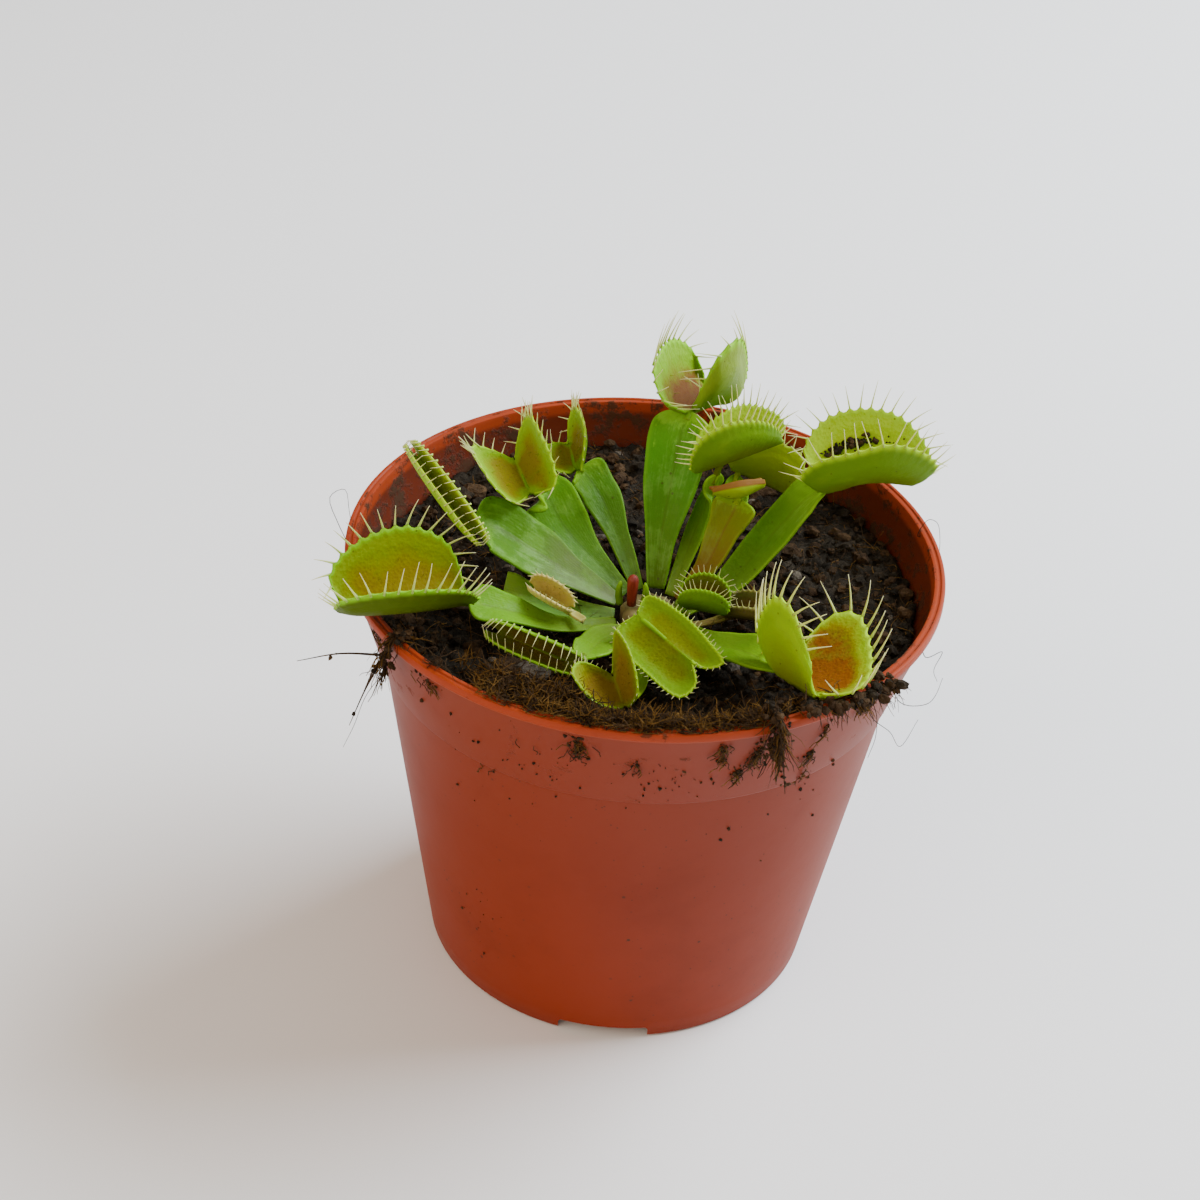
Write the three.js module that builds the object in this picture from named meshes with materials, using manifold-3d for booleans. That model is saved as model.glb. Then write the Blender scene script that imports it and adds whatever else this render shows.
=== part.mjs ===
// A venus flytrap in a round plastic nursery pot, in millimetres with +Z up.
import * as THREE from 'three';
import { mergeVertices } from 'three/addons/utils/BufferGeometryUtils.js';
import Module from 'manifold-3d';

const wasm = await Module();
wasm.setup();

// Pot: a 9 cm tapered pot with a flared collar, a rolled lip and a notched foot ring.
const rimRadius = 45;
const potHeight = 71;
const footRadius = 30.7;
const creaseRadius = 39.2;
const collarHeight = 16.3;
const wallThickness = 1.2;
const lipHeight = 1.3;
const lipWidth = 1.8;
const floorHeight = 2.2;
const notchHeight = 2.0;
const notchWidth = 14;
const notchAngles = [-92, 28, 148];
const drainRadius = 3;
const drainRing = 19;
const drainCount = 6;
const potSides = 44;

// Soil: peat filled to a few millimetres below the lip, heaped against the front wall.
const soilHeight = 63.9;
const frontHeap = 3.8;
const soilSides = 32;
const soilEdge = 40.5;
const soilStep = 3.6;
const gap = 0.3;

// Crown: the white bulb that every leaf grows from.
const crownCentre = new THREE.Vector3(1, -9, 0);
const crownRadius = 4.3;
const crownTop = 67.4;
const crownShoulder = 66.6;
const crownBottom = 56;

const bladeThickness = 0.8;
const lobeThickness = 0.65;
const bristleRadius = 0.3;
const bristleSink = 0.8;
const neckRadius = 0.6;

const colours = { leaf: 0x5fa31c, lobe: 0x86b81e, young: 0x8f7d2c, red: 0x8e2a1c,
  dry: 0xb9a458, peat: 0x2a2019, pot: 0xa9452b, crown: 0xb9b79a };

// Each leaf: the centre line of its blade from the crown outward with the width at each
// point, its roll in degrees, and its trap. A trap has a hinge line and, for each lobe, either
// the outline of its free edge or only the middle of that edge. Join is the share of the hinge
// where the neck meets it, lean how far the bristles bend over to the other lobe.
const leaves = [
  { name: 'leaf_back_tall',
    line: [[1.8, -4.2, 67], [2, -0.5, 73], [3, 4, 81], [4, 8.5, 87], [5, 10.8, 89]],
    widths: [2.5, 4.4, 8.2, 9.4, 7.5],
    trap: { hinge: [[5, 11.2, 89], [9.8, 21.7, 85]],
      margins: [[[4.5, 10.2, 89.4], [1.3, 7.4, 93.5], [0.1, 10, 96.2], [1, 15.9, 96.8], [3, 21.2, 95.6],
        [5.5, 23.9, 92.5], [6.9, 22.6, 89.8]],
        [[6.2, 13.3, 88.9], [6.2, 10.6, 94.1], [7.5, 9.8, 99.8], [9.8, 13, 101], [11.9, 19.7, 95.4],
        [12.6, 26.3, 85.2], [10.2, 22.7, 84.2]]],
      bristles: 11, length: 4.2, lean: 0.5 } },
  { name: 'leaf_back_right',
    line: [[4.1, -5.1, 66.6], [6.8, 2.5, 72], [8.8, 4.6, 78.4], [9.6, 3.6, 83.2]],
    widths: [1.6, 3, 3.6, 3],
    trap: { hinge: [[6.5, 2, 84.5], [12.5, 4.4, 85.8], [18.6, 8.7, 86.5]],
      margins: [[[5.5, 1.1, 85.2], [5.3, -0.5, 89.1], [6.5, -1.1, 92.6], [10.3, 0.5, 94.3],
        [15.1, 4.2, 92.5], [18, 7.4, 89], [18.9, 9, 86.4]],
        [[6, 1.8, 86.5], [6.6, 3.3, 89.3], [10.1, 6, 91.9], [13.4, 8.5, 92.1], [17.2, 9.7, 90.7],
        [19.3, 9.9, 88.5], [18.9, 8.8, 86.4]]],
      bristles: 12, length: 2.8, lean: 0.15, join: 0.3 } },
  { name: 'leaf_right_low',
    line: [[5.4, -6.3, 65.4], [10.3, 6.3, 66.8], [12.9, 10, 73.5], [13.1, 15, 76]],
    widths: [1.6, 3, 4, 3.4],
    trap: { hinge: [[12.5, 15.6, 77], [20.8, 15.7, 73.5]],
      margins: [[[11.7, 15.6, 78.2], [12.9, 15.6, 79.8], [15.9, 15.5, 81], [19.3, 15.4, 82.2],
        [22.7, 15.5, 80.3], [23.3, 15.5, 77.6], [21.4, 15.7, 73.6]],
        [[12.3, 16.1, 77.8], [13.1, 17.1, 79], [15.2, 18.2, 79.8], [17.7, 19, 79.9], [20.1, 19, 79],
        [21.4, 18.1, 77], [21.3, 16.1, 74]]],
      bristles: 10, length: 2.8 } },
  { name: 'leaf_young_closed',
    line: [[5.3, -7, 67], [9, -4.6, 72], [11.2, -1.7, 76.5], [12.6, 0.2, 79.3], [12.9, 0.7, 80.6]],
    widths: [2.4, 3.9, 5.2, 7.1, 7],
    trap: { hinge: [[16.2, 3.1, 82], [12.7, 0.1, 81.8], [9.1, 0.2, 82]],
      margins: [[[16.4, 2.4, 83.2], [14.8, 1.5, 83.4], [12.7, 0.7, 83.4], [10.5, -0, 83.1],
        [8.6, -0.6, 82.8]],
        [[16.4, 2.4, 83.5], [14.6, 1.4, 84], [12.5, 0.5, 84.1], [10.3, -0.2, 83.7], [8.6, -0.6, 83.2]]],
      bristles: 0, length: 1, cup: 0.3, join: 0.5 } },
  { name: 'leaf_right_long',
    line: [[6.2, -8.5, 66], [12.5, -3.9, 68.4], [17.5, 0.8, 73], [23, 3.5, 79.5], [26, 4, 82]],
    widths: [1.7, 4.6, 6.5, 8.3, 6.6],
    trap: { hinge: [[26.2, 3.1, 82], [32.1, 4.7, 83.2], [38.4, 5.4, 83]],
      margins: [[[24.9, 2.4, 82.9], [21.6, -0.1, 86.6], [23.4, -1.5, 90.3], [28.5, -1, 91.9],
        [33.5, -0.7, 93.6], [38.9, 1.7, 91.1], [41.5, 4.2, 87], [39, 5.5, 82.9]],
        [[25.2, 3.7, 83.5], [22.5, 5.1, 86.9], [25.1, 7.6, 90.9], [30.7, 9.2, 92.4], [36.1, 9.5, 91.4],
        [39.5, 8.6, 88.8], [41.1, 7.4, 86], [39, 5.8, 83.7]]],
      bristles: 13, length: 4.8, lean: 0.2 } },
  { name: 'leaf_right_front',
    line: [[5, -12, 65.8], [10.5, -17.5, 67.3], [15.5, -21.5, 68.8], [20.2, -25, 68.8]],
    widths: [1.8, 6, 7.5, 4],
    trap: { hinge: [[20.3, -25.8, 68.8], [24.8, -32.8, 70.5]],
      margins: [[[20, -25.2, 68.3], [17.8, -22.3, 70.1], [16.9, -21.2, 72.7], [17.4, -22.3, 77.4],
        [18.8, -24.7, 81.3], [20.8, -27.6, 81.3], [22.3, -29.5, 78.5], [23.7, -31, 74.6]],
        [[22.7, -23.2, 70.3], [24.6, -18.5, 72], [27.8, -16.3, 73.8], [30.4, -17.5, 74.6],
        [32, -24, 74], [31.5, -31, 73.3], [28.5, -35.4, 73.8], [25.2, -34, 72]]],
      bristles: 12, length: 5.4, lean: 0.3, join: 0.25, cup: 0.08 } },
  { name: 'leaf_front_open',
    line: [[1, -14.4, 66.6], [-0.1, -15.4, 68.4], [-0.6, -16.4, 70.1]],
    widths: [2, 2, 1.8],
    trap: { hinge: [[-0.8, -16.4, 70.7], [7, -25.9, 70.1]],
      margins: [[[-1, -16.6, 70.6], [-3.6, -18.7, 69.8], [-2.7, -22.5, 69.2], [0.7, -27.2, 68.9],
        [5.8, -32, 68.7], [7.7, -30.3, 69.4], [7.2, -26.3, 70]],
        [[-0.7, -16.1, 70.9], [0.3, -13.9, 72.4], [5.3, -18.3, 72.8], [9.4, -23.9, 72.2],
        [11.3, -27.5, 71.5], [9.2, -27.5, 70.4], [7.3, -26, 70.2]]],
      bristles: 10, length: 1.2 } },
  { name: 'leaf_front_small',
    line: [[0, -14, 65], [0.6, -20, 65.4], [0.2, -27, 65.8], [-1.3, -32.2, 66.8]],
    widths: [1.5, 1.6, 1.8, 1.5],
    trap: { hinge: [[-1.8, -33.5, 66.9], [-3.7, -29.4, 68.8]],
      margins: [[[-1.9, -33.8, 67], [-4.2, -35.9, 68.8], [-6.5, -37.3, 71.6], [-8.8, -35.1, 73.7],
        [-8.2, -32.3, 73.4], [-5.7, -30.6, 71.3], [-3.9, -29.2, 69]],
        [[-1.5, -34, 67.1], [-0.7, -34.9, 70.4], [-1.5, -32.9, 73.3], [-3, -29.9, 75], [-4.5, -27.1, 74.8],
        [-4.3, -27.9, 71.9], [-3.8, -29.3, 69.2]]],
      bristles: 8, length: 1 } },
  { name: 'leaf_front_left',
    line: [[-1.6, -13.5, 65.8], [-4.9, -17.3, 66.7], [-7, -22.9, 68.6], [-8.6, -26.1, 69.2]],
    widths: [1.5, 6, 5.5, 3],
    trap: { hinge: [[-9.4, -27.8, 69.5], [-14.7, -26.6, 70.6], [-20.2, -23.9, 71]],
      edges: [[-15.3, -30.4, 71.8], [-14.8, -29, 74]],
      bristles: 12, length: 2.4, lean: 1.2 } },
  { name: 'leaf_left_long',
    line: [[-3.7, -12, 65.6], [-12, -15.1, 67], [-18.5, -16.7, 69.7], [-23, -17.5, 71.1],
      [-25.2, -17.7, 71.7]],
    widths: [1.6, 3, 5, 6.4, 6], roll: -15,
    trap: { hinge: [[-25.1, -17.9, 72.3], [-33.3, -22.4, 73.3], [-42.2, -24.1, 73.5]],
      margins: [[[-23.9, -18.4, 73.1], [-25.2, -23.6, 78.2], [-28.7, -27.1, 80.8], [-33.6, -29.6, 81.9],
        [-38.5, -30.6, 81.5], [-42.1, -29.7, 79.4], [-43.4, -25.4, 74.5]],
        [[-26.1, -17.9, 73.2], [-26.9, -16.3, 76.8], [-29, -15.4, 80.2], [-34.1, -16.2, 82.6],
        [-39.8, -18.7, 81.9], [-43.5, -21.5, 79.4], [-44.3, -23, 77.2], [-42.8, -23.7, 74.7]]],
      bristles: 13, length: 4.6, lean: 0.35 } },
  { name: 'leaf_left_broad',
    line: [[-3.9, -7.7, 66.9], [-11, -7.3, 70.8], [-17, -6.5, 74], [-22.5, -6.2, 77.2], [-25.2, -7, 78.2]],
    widths: [2, 5, 8.8, 9.1, 7.2], roll: -27,
    trap: { hinge: [[-25.3, -9.9, 78.5], [-30.4, -5.6, 81.5], [-34.6, -0, 84.5]],
      edges: [[-30.3, -9.9, 85], [-28.8, -9.5, 85.6]],
      bristles: 12, length: 1.3, lean: 2, cup: 0.1 } },
  { name: 'leaf_left_cut',
    line: [[-4.1, -10.1, 66.1], [-10.5, -9.7, 65.5], [-16, -10.7, 67.5], [-20.5, -11, 68.9]],
    widths: [1.6, 4.5, 6.6, 7], roll: -15 },
  { name: 'leaf_back_left',
    line: [[-2.4, -5.5, 66.8], [-7.4, -3, 70.3], [-12.4, -0.8, 74.6], [-15.4, 2.1, 77.9], [-16.8, 1.7, 79.1]],
    widths: [1.8, 4, 7.8, 8.2, 7], roll: -21,
    trap: { hinge: [[-17.8, 0.4, 79.4], [-20.6, 6.6, 80.9]],
      margins: [[[-18.1, -1, 79.8], [-19.5, -5, 81.5], [-22, -4.9, 83.7], [-24.5, -2, 85.4],
        [-26.2, 1.9, 86.3], [-23.7, 4.9, 83.8], [-20.7, 6.7, 81]],
        [[-17.4, -0.2, 79.7], [-14.7, -2.4, 82.9], [-15.1, -0.3, 84.7], [-17.1, 4.6, 86.3],
        [-19.8, 10.1, 86.7], [-20.7, 9.2, 83.7], [-20.7, 7, 81]]],
      bristles: 10, length: 2.6 } },
  { name: 'leaf_back_mid',
    line: [[-0.8, -4.2, 66.6], [-4.4, 3.2, 71.2], [-7.4, 6.9, 75.6], [-9.8, 8.3, 78.2], [-10.7, 8.7, 79]],
    widths: [1.8, 3.4, 6.6, 7.4, 6.6], roll: -10,
    trap: { hinge: [[-11.4, 8.7, 78.9], [-12.8, 13.1, 80.5]],
      margins: [[[-12, 7.7, 78.9], [-14, 6.6, 80], [-16.1, 7.1, 80.5], [-16.3, 10.3, 81.4],
        [-14.7, 12.3, 81.2], [-12.9, 13, 80.5]],
        [[-10.9, 7.6, 79.3], [-10.8, 8.6, 81.9], [-11, 10.5, 84.5], [-12, 13.6, 85.6], [-13, 15.9, 85],
        [-13.5, 16.1, 82.7], [-13.1, 13.9, 80.3]]],
      bristles: 9, length: 2.3 } },
  { name: 'leaf_young_low',
    line: [[3.8, -13, 67.2], [5, -12.4, 69], [6.2, -12, 69.8]],
    widths: [1.5, 1.5, 1.4],
    trap: { hinge: [[6, -11.8, 69.8], [11.6, -12.4, 69.4]],
      edges: [[8.8, -13.4, 74], [9.2, -10.6, 74.4]],
      bristles: 8, length: 1.6 } },
];

// Dead traps: one dried dark beside the crown, one bleached and lying on the left leaf.
const deadTraps = [
  { name: 'withered_trap',
    line: [[6.2, -10.6, 65.2], [9.5, -9.8, 65.4], [12.5, -8.9, 66.2]],
    widths: [1.2, 1.1, 1.2],
    trap: { hinge: [[12.8, -8.6, 66.4], [17.8, -9.5, 66.8]],
      edges: [[15.1, -10.9, 69.8], [15.7, -8.3, 70.4]],
      bristles: 5, length: 1.4 } },
  { name: 'bleached_trap',
    line: [[-8.6, -15.2, 68.2], [-10, -13.8, 68.1], [-11.2, -13.8, 69.1]],
    widths: [1.2, 1.2, 1.2],
    trap: { hinge: [[-11, -13.8, 69.2], [-16, -12.2, 71]],
      edges: [[-13.6, -15.6, 72], [-13.2, -13.6, 73.2]],
      bristles: 5, length: 1 } },
];

// The newest leaf, still a red point between two olive scales.
const shootFoot = [-1.7, -10, 67.8];
const shootHeight = 5.2;
const shootRadius = 0.85;
const scaleRadius = 0.55;

// Peat and roots hanging over the lip: each is a bent lump with thin root ends.
const lumpRadius = 1.1;
const rootRadius = 0.32;
const overhangs = [
  { name: 'root_clump_left', angle: 219, roots: [[-12.5, 0.5, -2.5], [-4.7, -2.5, -11], [-3, 0.5, -7]] },
  { name: 'root_clump_front', angle: 295, roots: [[1.5, -1.6, -8], [-2.5, -1.2, -6]] },
];

// Shape of the traps, as shares of the hinge length or the lobe depth, and of the blades.
const lobeSpread = 1.3;
const lobeCup = 0.16;
const endDepth = 0.14;
const bristleLean = 0.12;
const neckJoin = 0.15;
const wingFold = 0.22;
const tipStart = 0.8;
const tipWidth = 0.2;

const group = new THREE.Group();

function vector(point) {
  return new THREE.Vector3(...point);
}

function curveThrough(points) {
  return new THREE.CatmullRomCurve3(points.map(vector), false, 'centripetal');
}

function addMesh(name, geometry, colour, roughness) {
  const material = new THREE.MeshStandardMaterial({ color: colour, roughness, metalness: 0 });
  const mesh = new THREE.Mesh(geometry, material);
  mesh.name = name;
  group.add(mesh);
}

function toSolid(geometry) {
  const bare = geometry.clone();
  bare.deleteAttribute('normal');
  bare.deleteAttribute('uv');
  const merged = mergeVertices(bare, 1e-4);
  const vertProperties = new Float32Array(merged.attributes.position.array);
  const triVerts = new Uint32Array(merged.index.array);
  const solid = new wasm.Manifold(new wasm.Mesh({ numProp: 3, vertProperties, triVerts }));
  if (solid.volume() >= 0) return solid;
  for (let i = 0; i < triVerts.length; i += 3) {
    [triVerts[i], triVerts[i + 1]] = [triVerts[i + 1], triVerts[i]];
  }
  return new wasm.Manifold(new wasm.Mesh({ numProp: 3, vertProperties, triVerts }));
}

function toGeometry(solid) {
  const mesh = solid.getMesh();
  const geometry = new THREE.BufferGeometry();
  geometry.setAttribute('position', new THREE.BufferAttribute(mesh.vertProperties.slice(), 3));
  geometry.setIndex(new THREE.BufferAttribute(mesh.triVerts.slice(), 1));
  geometry.computeVertexNormals();
  return geometry;
}

function union(solids) {
  return solids.reduce((sum, solid) => sum.add(solid)).simplify(0.06);
}

// A flat plane bent to pointAt(u, v), then closed into a blade with both faces split alike.
function blade(columns, rows, thickness, pointAt) {
  const sheet = new THREE.PlaneGeometry(1, 1, columns, rows);
  const face = sheet.attributes.position;
  for (let i = 0; i < face.count; i += 1) {
    const point = pointAt(face.getX(i) + 0.5, 2 * face.getY(i));
    face.setXYZ(i, point.x, point.y, point.z);
  }
  sheet.computeVertexNormals();
  const normals = sheet.attributes.normal;
  const positions = [...face.array];
  for (let i = 0; i < face.count; i += 1) {
    positions.push(face.getX(i) - thickness * normals.getX(i), face.getY(i) - thickness * normals.getY(i),
      face.getZ(i) - thickness * normals.getZ(i));
  }
  const index = [...sheet.index.array];
  const back = face.count;
  for (let i = 0; i < sheet.index.count; i += 3) {
    const [a, b, c] = index.slice(i, i + 3);
    index.push(back + a, back + c, back + b);
  }
  const width = columns + 1;
  const rim = [];
  for (let i = 0; i < columns; i += 1) rim.push(i);
  for (let j = 0; j < rows; j += 1) rim.push(j * width + columns);
  for (let i = columns; i > 0; i -= 1) rim.push(rows * width + i);
  for (let j = rows; j > 0; j -= 1) rim.push(j * width);
  rim.forEach((a, k) => {
    const b = rim[(k + 1) % rim.length];
    index.push(a, b, back + a, b, back + b, back + a);
  });
  const geometry = new THREE.BufferGeometry();
  geometry.setAttribute('position', new THREE.Float32BufferAttribute(positions, 3));
  geometry.setIndex(index);
  return toSolid(geometry);
}

// The winged leaf stalk: widths along a curve, both wings folded up a little, the tip rounded.
function leafBlade({ line, widths, roll = 0, trap }) {
  const centre = curveThrough(line);
  const width = new THREE.CatmullRomCurve3(widths.map((value) => new THREE.Vector3(value, 0, 0)));
  const up = new THREE.Vector3(0, 0, 1);
  return blade(8, 4, bladeThickness, (share, v) => {
    const u = 1 - (1 - share) ** 1.4;
    const along = centre.getTangent(u);
    const across = new THREE.Vector3().crossVectors(up, along).normalize();
    across.applyAxisAngle(along, THREE.MathUtils.degToRad(roll));
    const above = new THREE.Vector3().crossVectors(along, across).normalize();
    const past = trap ? Math.max(0, (u - tipStart) / (1 - tipStart)) : 0;
    const half = width.getPoint(u).x / 2 * Math.max(tipWidth, Math.sqrt(1 - past * past));
    const fold = wingFold * half * Math.abs(v);
    return centre.getPoint(u).addScaledVector(across, v * half).addScaledVector(above, fold);
  });
}

// The free edges of both lobes as functions of u.
function freeEdges({ hinge, margins, edges }) {
  if (margins) return margins.map(curveThrough).map((curve) => (u) => curve.getPointAt(u));
  const [start, end] = [hinge[0], hinge[hinge.length - 1]].map(vector);
  const middle = start.clone().lerp(end, 0.5);
  const along = end.sub(start);
  return edges.map((edge) => (u) => {
    const depth = endDepth + (1 - endDepth) * Math.sin(Math.PI * u) ** 0.7;
    return middle.clone().addScaledVector(along, -Math.cos(Math.PI * u) * lobeSpread / 2)
      .addScaledVector(vector(edge).sub(middle), depth);
  });
}

// A point of a trap: u runs along the hinge, v from one lobe's free edge (-1) to the other's (1).
// The lobes are ordered so that the sheet's own face is the inside of the trap.
function trapSurface(trap) {
  const hinge = curveThrough(trap.hinge);
  const middle = hinge.getPoint(0.5);
  const along = hinge.getPoint(1).sub(hinge.getPoint(0));
  const free = freeEdges(trap);
  const reach = free.map((edge) => edge(0.5).sub(middle));
  const spread = new THREE.Vector3().crossVectors(along, reach[1].clone().sub(reach[0]));
  if (spread.dot(reach[0].clone().add(reach[1])) < 0) {
    reach.reverse();
    free.reverse();
  }
  const outward = reach.map((own, side) => {
    const normal = new THREE.Vector3().crossVectors(own, along).normalize();
    return normal.dot(reach[1 - side]) > 0 ? normal.negate() : normal;
  });
  return (u, v) => {
    const side = v < 0 ? 0 : 1;
    const t = Math.abs(v);
    const fold = hinge.getPoint(u);
    const edge = free[side](u);
    const cup = (trap.cup ?? lobeCup) * fold.distanceTo(edge) * Math.sin(Math.PI * Math.min(1, t * 0.85));
    return fold.lerp(edge, t).addScaledVector(outward[side], cup);
  };
}

function bristle(root, direction, length) {
  const cone = new THREE.ConeGeometry(bristleRadius, length + bristleSink, 3, 1);
  cone.translate(0, (length + bristleSink) / 2 - bristleSink, 0);
  cone.applyQuaternion(new THREE.Quaternion().setFromUnitVectors(new THREE.Vector3(0, 1, 0), direction));
  cone.translate(root.x, root.y, root.z);
  return toSolid(cone);
}

function trapSolids(trap) {
  const surface = trapSurface(trap);
  const [columns, rows] = trap.bristles < 10 ? [6, 4] : [8, 6];
  const solids = [blade(columns, rows, lobeThickness, surface)];
  for (let k = 0; k < trap.bristles; k += 1) {
    const u = 0.06 + 0.88 * (k + 0.5) / trap.bristles;
    for (const edge of [-1, 1]) {
      const [low, high] = [Math.floor(u * columns) / columns, Math.ceil(u * columns) / columns];
      const root = surface(low, edge).lerp(surface(high, edge), (u - low) * columns);
      const inward = surface(u, edge * 0.8).sub(root);
      const along = surface(u + 0.02, edge).sub(surface(u - 0.02, edge)).normalize();
      const skin = new THREE.Vector3().crossVectors(along, inward).normalize().multiplyScalar(edge);
      const direction = inward.addScaledVector(along, -inward.dot(along)).normalize().negate();
      const lean = trap.lean ?? bristleLean;
      direction.addScaledVector(surface(u, -edge).sub(root).normalize(), lean).normalize();
      root.addScaledVector(skin, lobeThickness / 2);
      const length = trap.length * (0.7 + 0.3 * Math.sin(Math.PI * u));
      solids.push(bristle(root, direction, length));
    }
  }
  return solids;
}

function addLeaf(leaf) {
  const solids = [leafBlade(leaf)];
  if (leaf.trap) {
    solids.push(...trapSolids(leaf.trap));
    const [before, tip] = leaf.line.slice(-2).map(vector);
    const joint = curveThrough(leaf.trap.hinge).getPoint(leaf.trap.join ?? neckJoin);
    const drop = new THREE.Vector3(0, 0, -neckRadius / 2);
    const points = [tip.lerp(before, 0.2), joint].map((point) => point.add(drop));
    solids.push(tube(points, neckRadius, 5, 1));
  }
  addMesh(leaf.name, toGeometry(union(solids)), leaf.trap ? colours.lobe : colours.leaf, 0.5);
}

function ring(radius, angle, height) {
  const turn = THREE.MathUtils.degToRad(angle);
  return new THREE.Vector3(radius * Math.cos(turn), radius * Math.sin(turn), height);
}

// A lathe turned about +Z from a profile of [radius, height] points.
function turned(profile, sides) {
  const geometry = new THREE.LatheGeometry(profile.map(([x, y]) => new THREE.Vector2(x, y)), sides);
  return geometry.rotateX(Math.PI / 2);
}

function cylinder(radius, bottom, top, sides) {
  const geometry = new THREE.CylinderGeometry(radius, radius, top - bottom, sides);
  return geometry.rotateX(Math.PI / 2).translate(0, 0, (top + bottom) / 2);
}

function addPot() {
  const crease = potHeight - collarHeight;
  const profile = [
    [0, floorHeight],
    [footRadius - wallThickness, floorHeight],
    [footRadius - wallThickness, 0],
    [footRadius, 0],
    [creaseRadius, crease - 0.5],
    [creaseRadius + 0.6, crease],
    [rimRadius - 0.8, potHeight - lipHeight - 0.3],
    [rimRadius, potHeight - lipHeight],
    [rimRadius, potHeight - 0.3],
    [rimRadius - 0.3, potHeight],
    [rimRadius - lipWidth + 0.2, potHeight],
    [rimRadius - lipWidth, potHeight - 0.4],
    [rimRadius - 0.8 - wallThickness, potHeight - lipHeight - 0.6],
    [creaseRadius - wallThickness, crease],
    [footRadius - wallThickness, floorHeight + wallThickness],
    [0, floorHeight + wallThickness],
  ];
  let pot = toSolid(turned(profile, potSides));
  for (const angle of notchAngles) {
    const notch = new THREE.BoxGeometry(6, notchWidth, 2 * notchHeight);
    notch.translate(footRadius, 0, 0).rotateZ(THREE.MathUtils.degToRad(angle));
    pot = pot.subtract(toSolid(notch));
  }
  for (let k = 0; k < drainCount; k += 1) {
    const centre = ring(drainRing, 360 * k / drainCount, 0);
    const hole = cylinder(drainRadius, floorHeight - 1, floorHeight + wallThickness + 1, 12);
    pot = pot.subtract(toSolid(hole.translate(centre.x, centre.y, 0)));
  }
  addMesh('pot', toGeometry(pot), colours.pot, 0.45);
}

function soilTop(x, y) {
  const radius = Math.hypot(x, y);
  const front = Math.max(0, -y / Math.max(radius, 1));
  const heap = frontHeap * THREE.MathUtils.smoothstep(radius, 31, 41) * front;
  const lumps = 0.35 * Math.sin(0.9 * x + 1.3) * Math.cos(0.8 * y) + 0.25 * Math.sin(1.7 * x - 1.1 * y);
  return soilHeight + heap + lumps;
}

function addSoil() {
  const crease = potHeight - collarHeight;
  const slope = (creaseRadius - footRadius) / (crease - floorHeight);
  const wallAt = (height) => footRadius - wallThickness - gap + slope * (height - floorHeight - wallThickness);
  const bottom = floorHeight + wallThickness + gap;
  const profile = [[0, bottom], [wallAt(bottom), bottom], [creaseRadius - wallThickness - 0.4, crease - 0.2]];
  for (let radius = soilEdge; radius > 2 * soilStep; radius -= soilStep) profile.push([radius, soilHeight]);
  profile.push([0, soilHeight]);
  const geometry = turned(profile, soilSides);
  const place = geometry.attributes.position;
  for (let i = 0; i < place.count; i += 1) {
    if (place.getZ(i) > crease + 1) place.setZ(i, soilTop(place.getX(i), place.getY(i)));
  }
  const hole = cylinder(crownRadius + gap, crownBottom - gap, potHeight, 24);
  hole.translate(crownCentre.x, crownCentre.y, 0);
  addMesh('soil', toGeometry(toSolid(geometry).subtract(toSolid(hole))), colours.peat, 0.95);
}

function addCrown() {
  const profile = [[0, crownBottom], [crownRadius * 0.6, crownBottom], [crownRadius, crownBottom + 3],
    [crownRadius, crownShoulder], [crownRadius * 0.7, crownTop - 0.15], [0, crownTop]];
  const geometry = turned(profile, 24).translate(crownCentre.x, crownCentre.y, 0);
  addMesh('crown', toGeometry(toSolid(geometry)), colours.crown, 0.6);
}

function addShoot() {
  const foot = vector(shootFoot);
  const profile = [[0, 0], [shootRadius * 0.8, 0], [shootRadius, shootHeight * 0.7],
    [shootRadius * 0.6, shootHeight * 0.95], [0, shootHeight]];
  const point = turned(profile, 10);
  point.translate(foot.x, foot.y, foot.z);
  addMesh('young_shoot', toGeometry(toSolid(point)), colours.red, 0.5);
  for (const [side, name] of [[-1, 'shoot_scale_left'], [1, 'shoot_scale_right']]) {
    const x = foot.x + side * (shootRadius + scaleRadius + gap);
    const points = [[x, foot.y, foot.z], [x + side * 0.3, foot.y, foot.z + 2], [x + side * 0.1, foot.y, foot.z + 4]];
    addMesh(name, toGeometry(tube(points.map(vector), scaleRadius, 8, 4)), colours.young, 0.5);
  }
}

function tube(points, radius, sides, steps) {
  const outline = new THREE.Shape();
  for (let k = 0; k < sides; k += 1) {
    const turn = 2 * Math.PI * k / sides;
    const corner = [radius * Math.cos(turn), radius * Math.sin(turn)];
    if (k === 0) outline.moveTo(...corner);
    else outline.lineTo(...corner);
  }
  const path = new THREE.CatmullRomCurve3(points);
  return toSolid(new THREE.ExtrudeGeometry(outline, { steps, extrudePath: path, bevelEnabled: false }));
}

function addOverhang({ name, angle, roots }) {
  const clear = lumpRadius + gap + 0.55;
  const points = [ring(rimRadius - lipWidth - clear - 0.5, angle, potHeight - 1.2),
    ring(rimRadius - lipWidth - 0.4, angle, potHeight + clear - 0.05),
    ring(rimRadius - 0.3, angle, potHeight + clear + 0.05), ring(rimRadius + clear, angle, potHeight - 1.6),
    ring(rimRadius + clear - 0.6, angle, potHeight - 5)];
  const solids = [tube(points, lumpRadius, 7, 8)];
  for (const reach of roots) {
    const start = points[3].clone();
    const end = start.clone().add(vector(reach));
    const middle = start.clone().lerp(end, 0.5).add(new THREE.Vector3(0, 0, 0.8));
    solids.push(tube([start, middle, end], rootRadius, 4, 5));
  }
  addMesh(name, toGeometry(union(solids)), colours.peat, 0.95);
}

addPot();
addSoil();
addCrown();
addShoot();
[...leaves, ...deadTraps].forEach(addLeaf);
overhangs.forEach(addOverhang);

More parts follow.
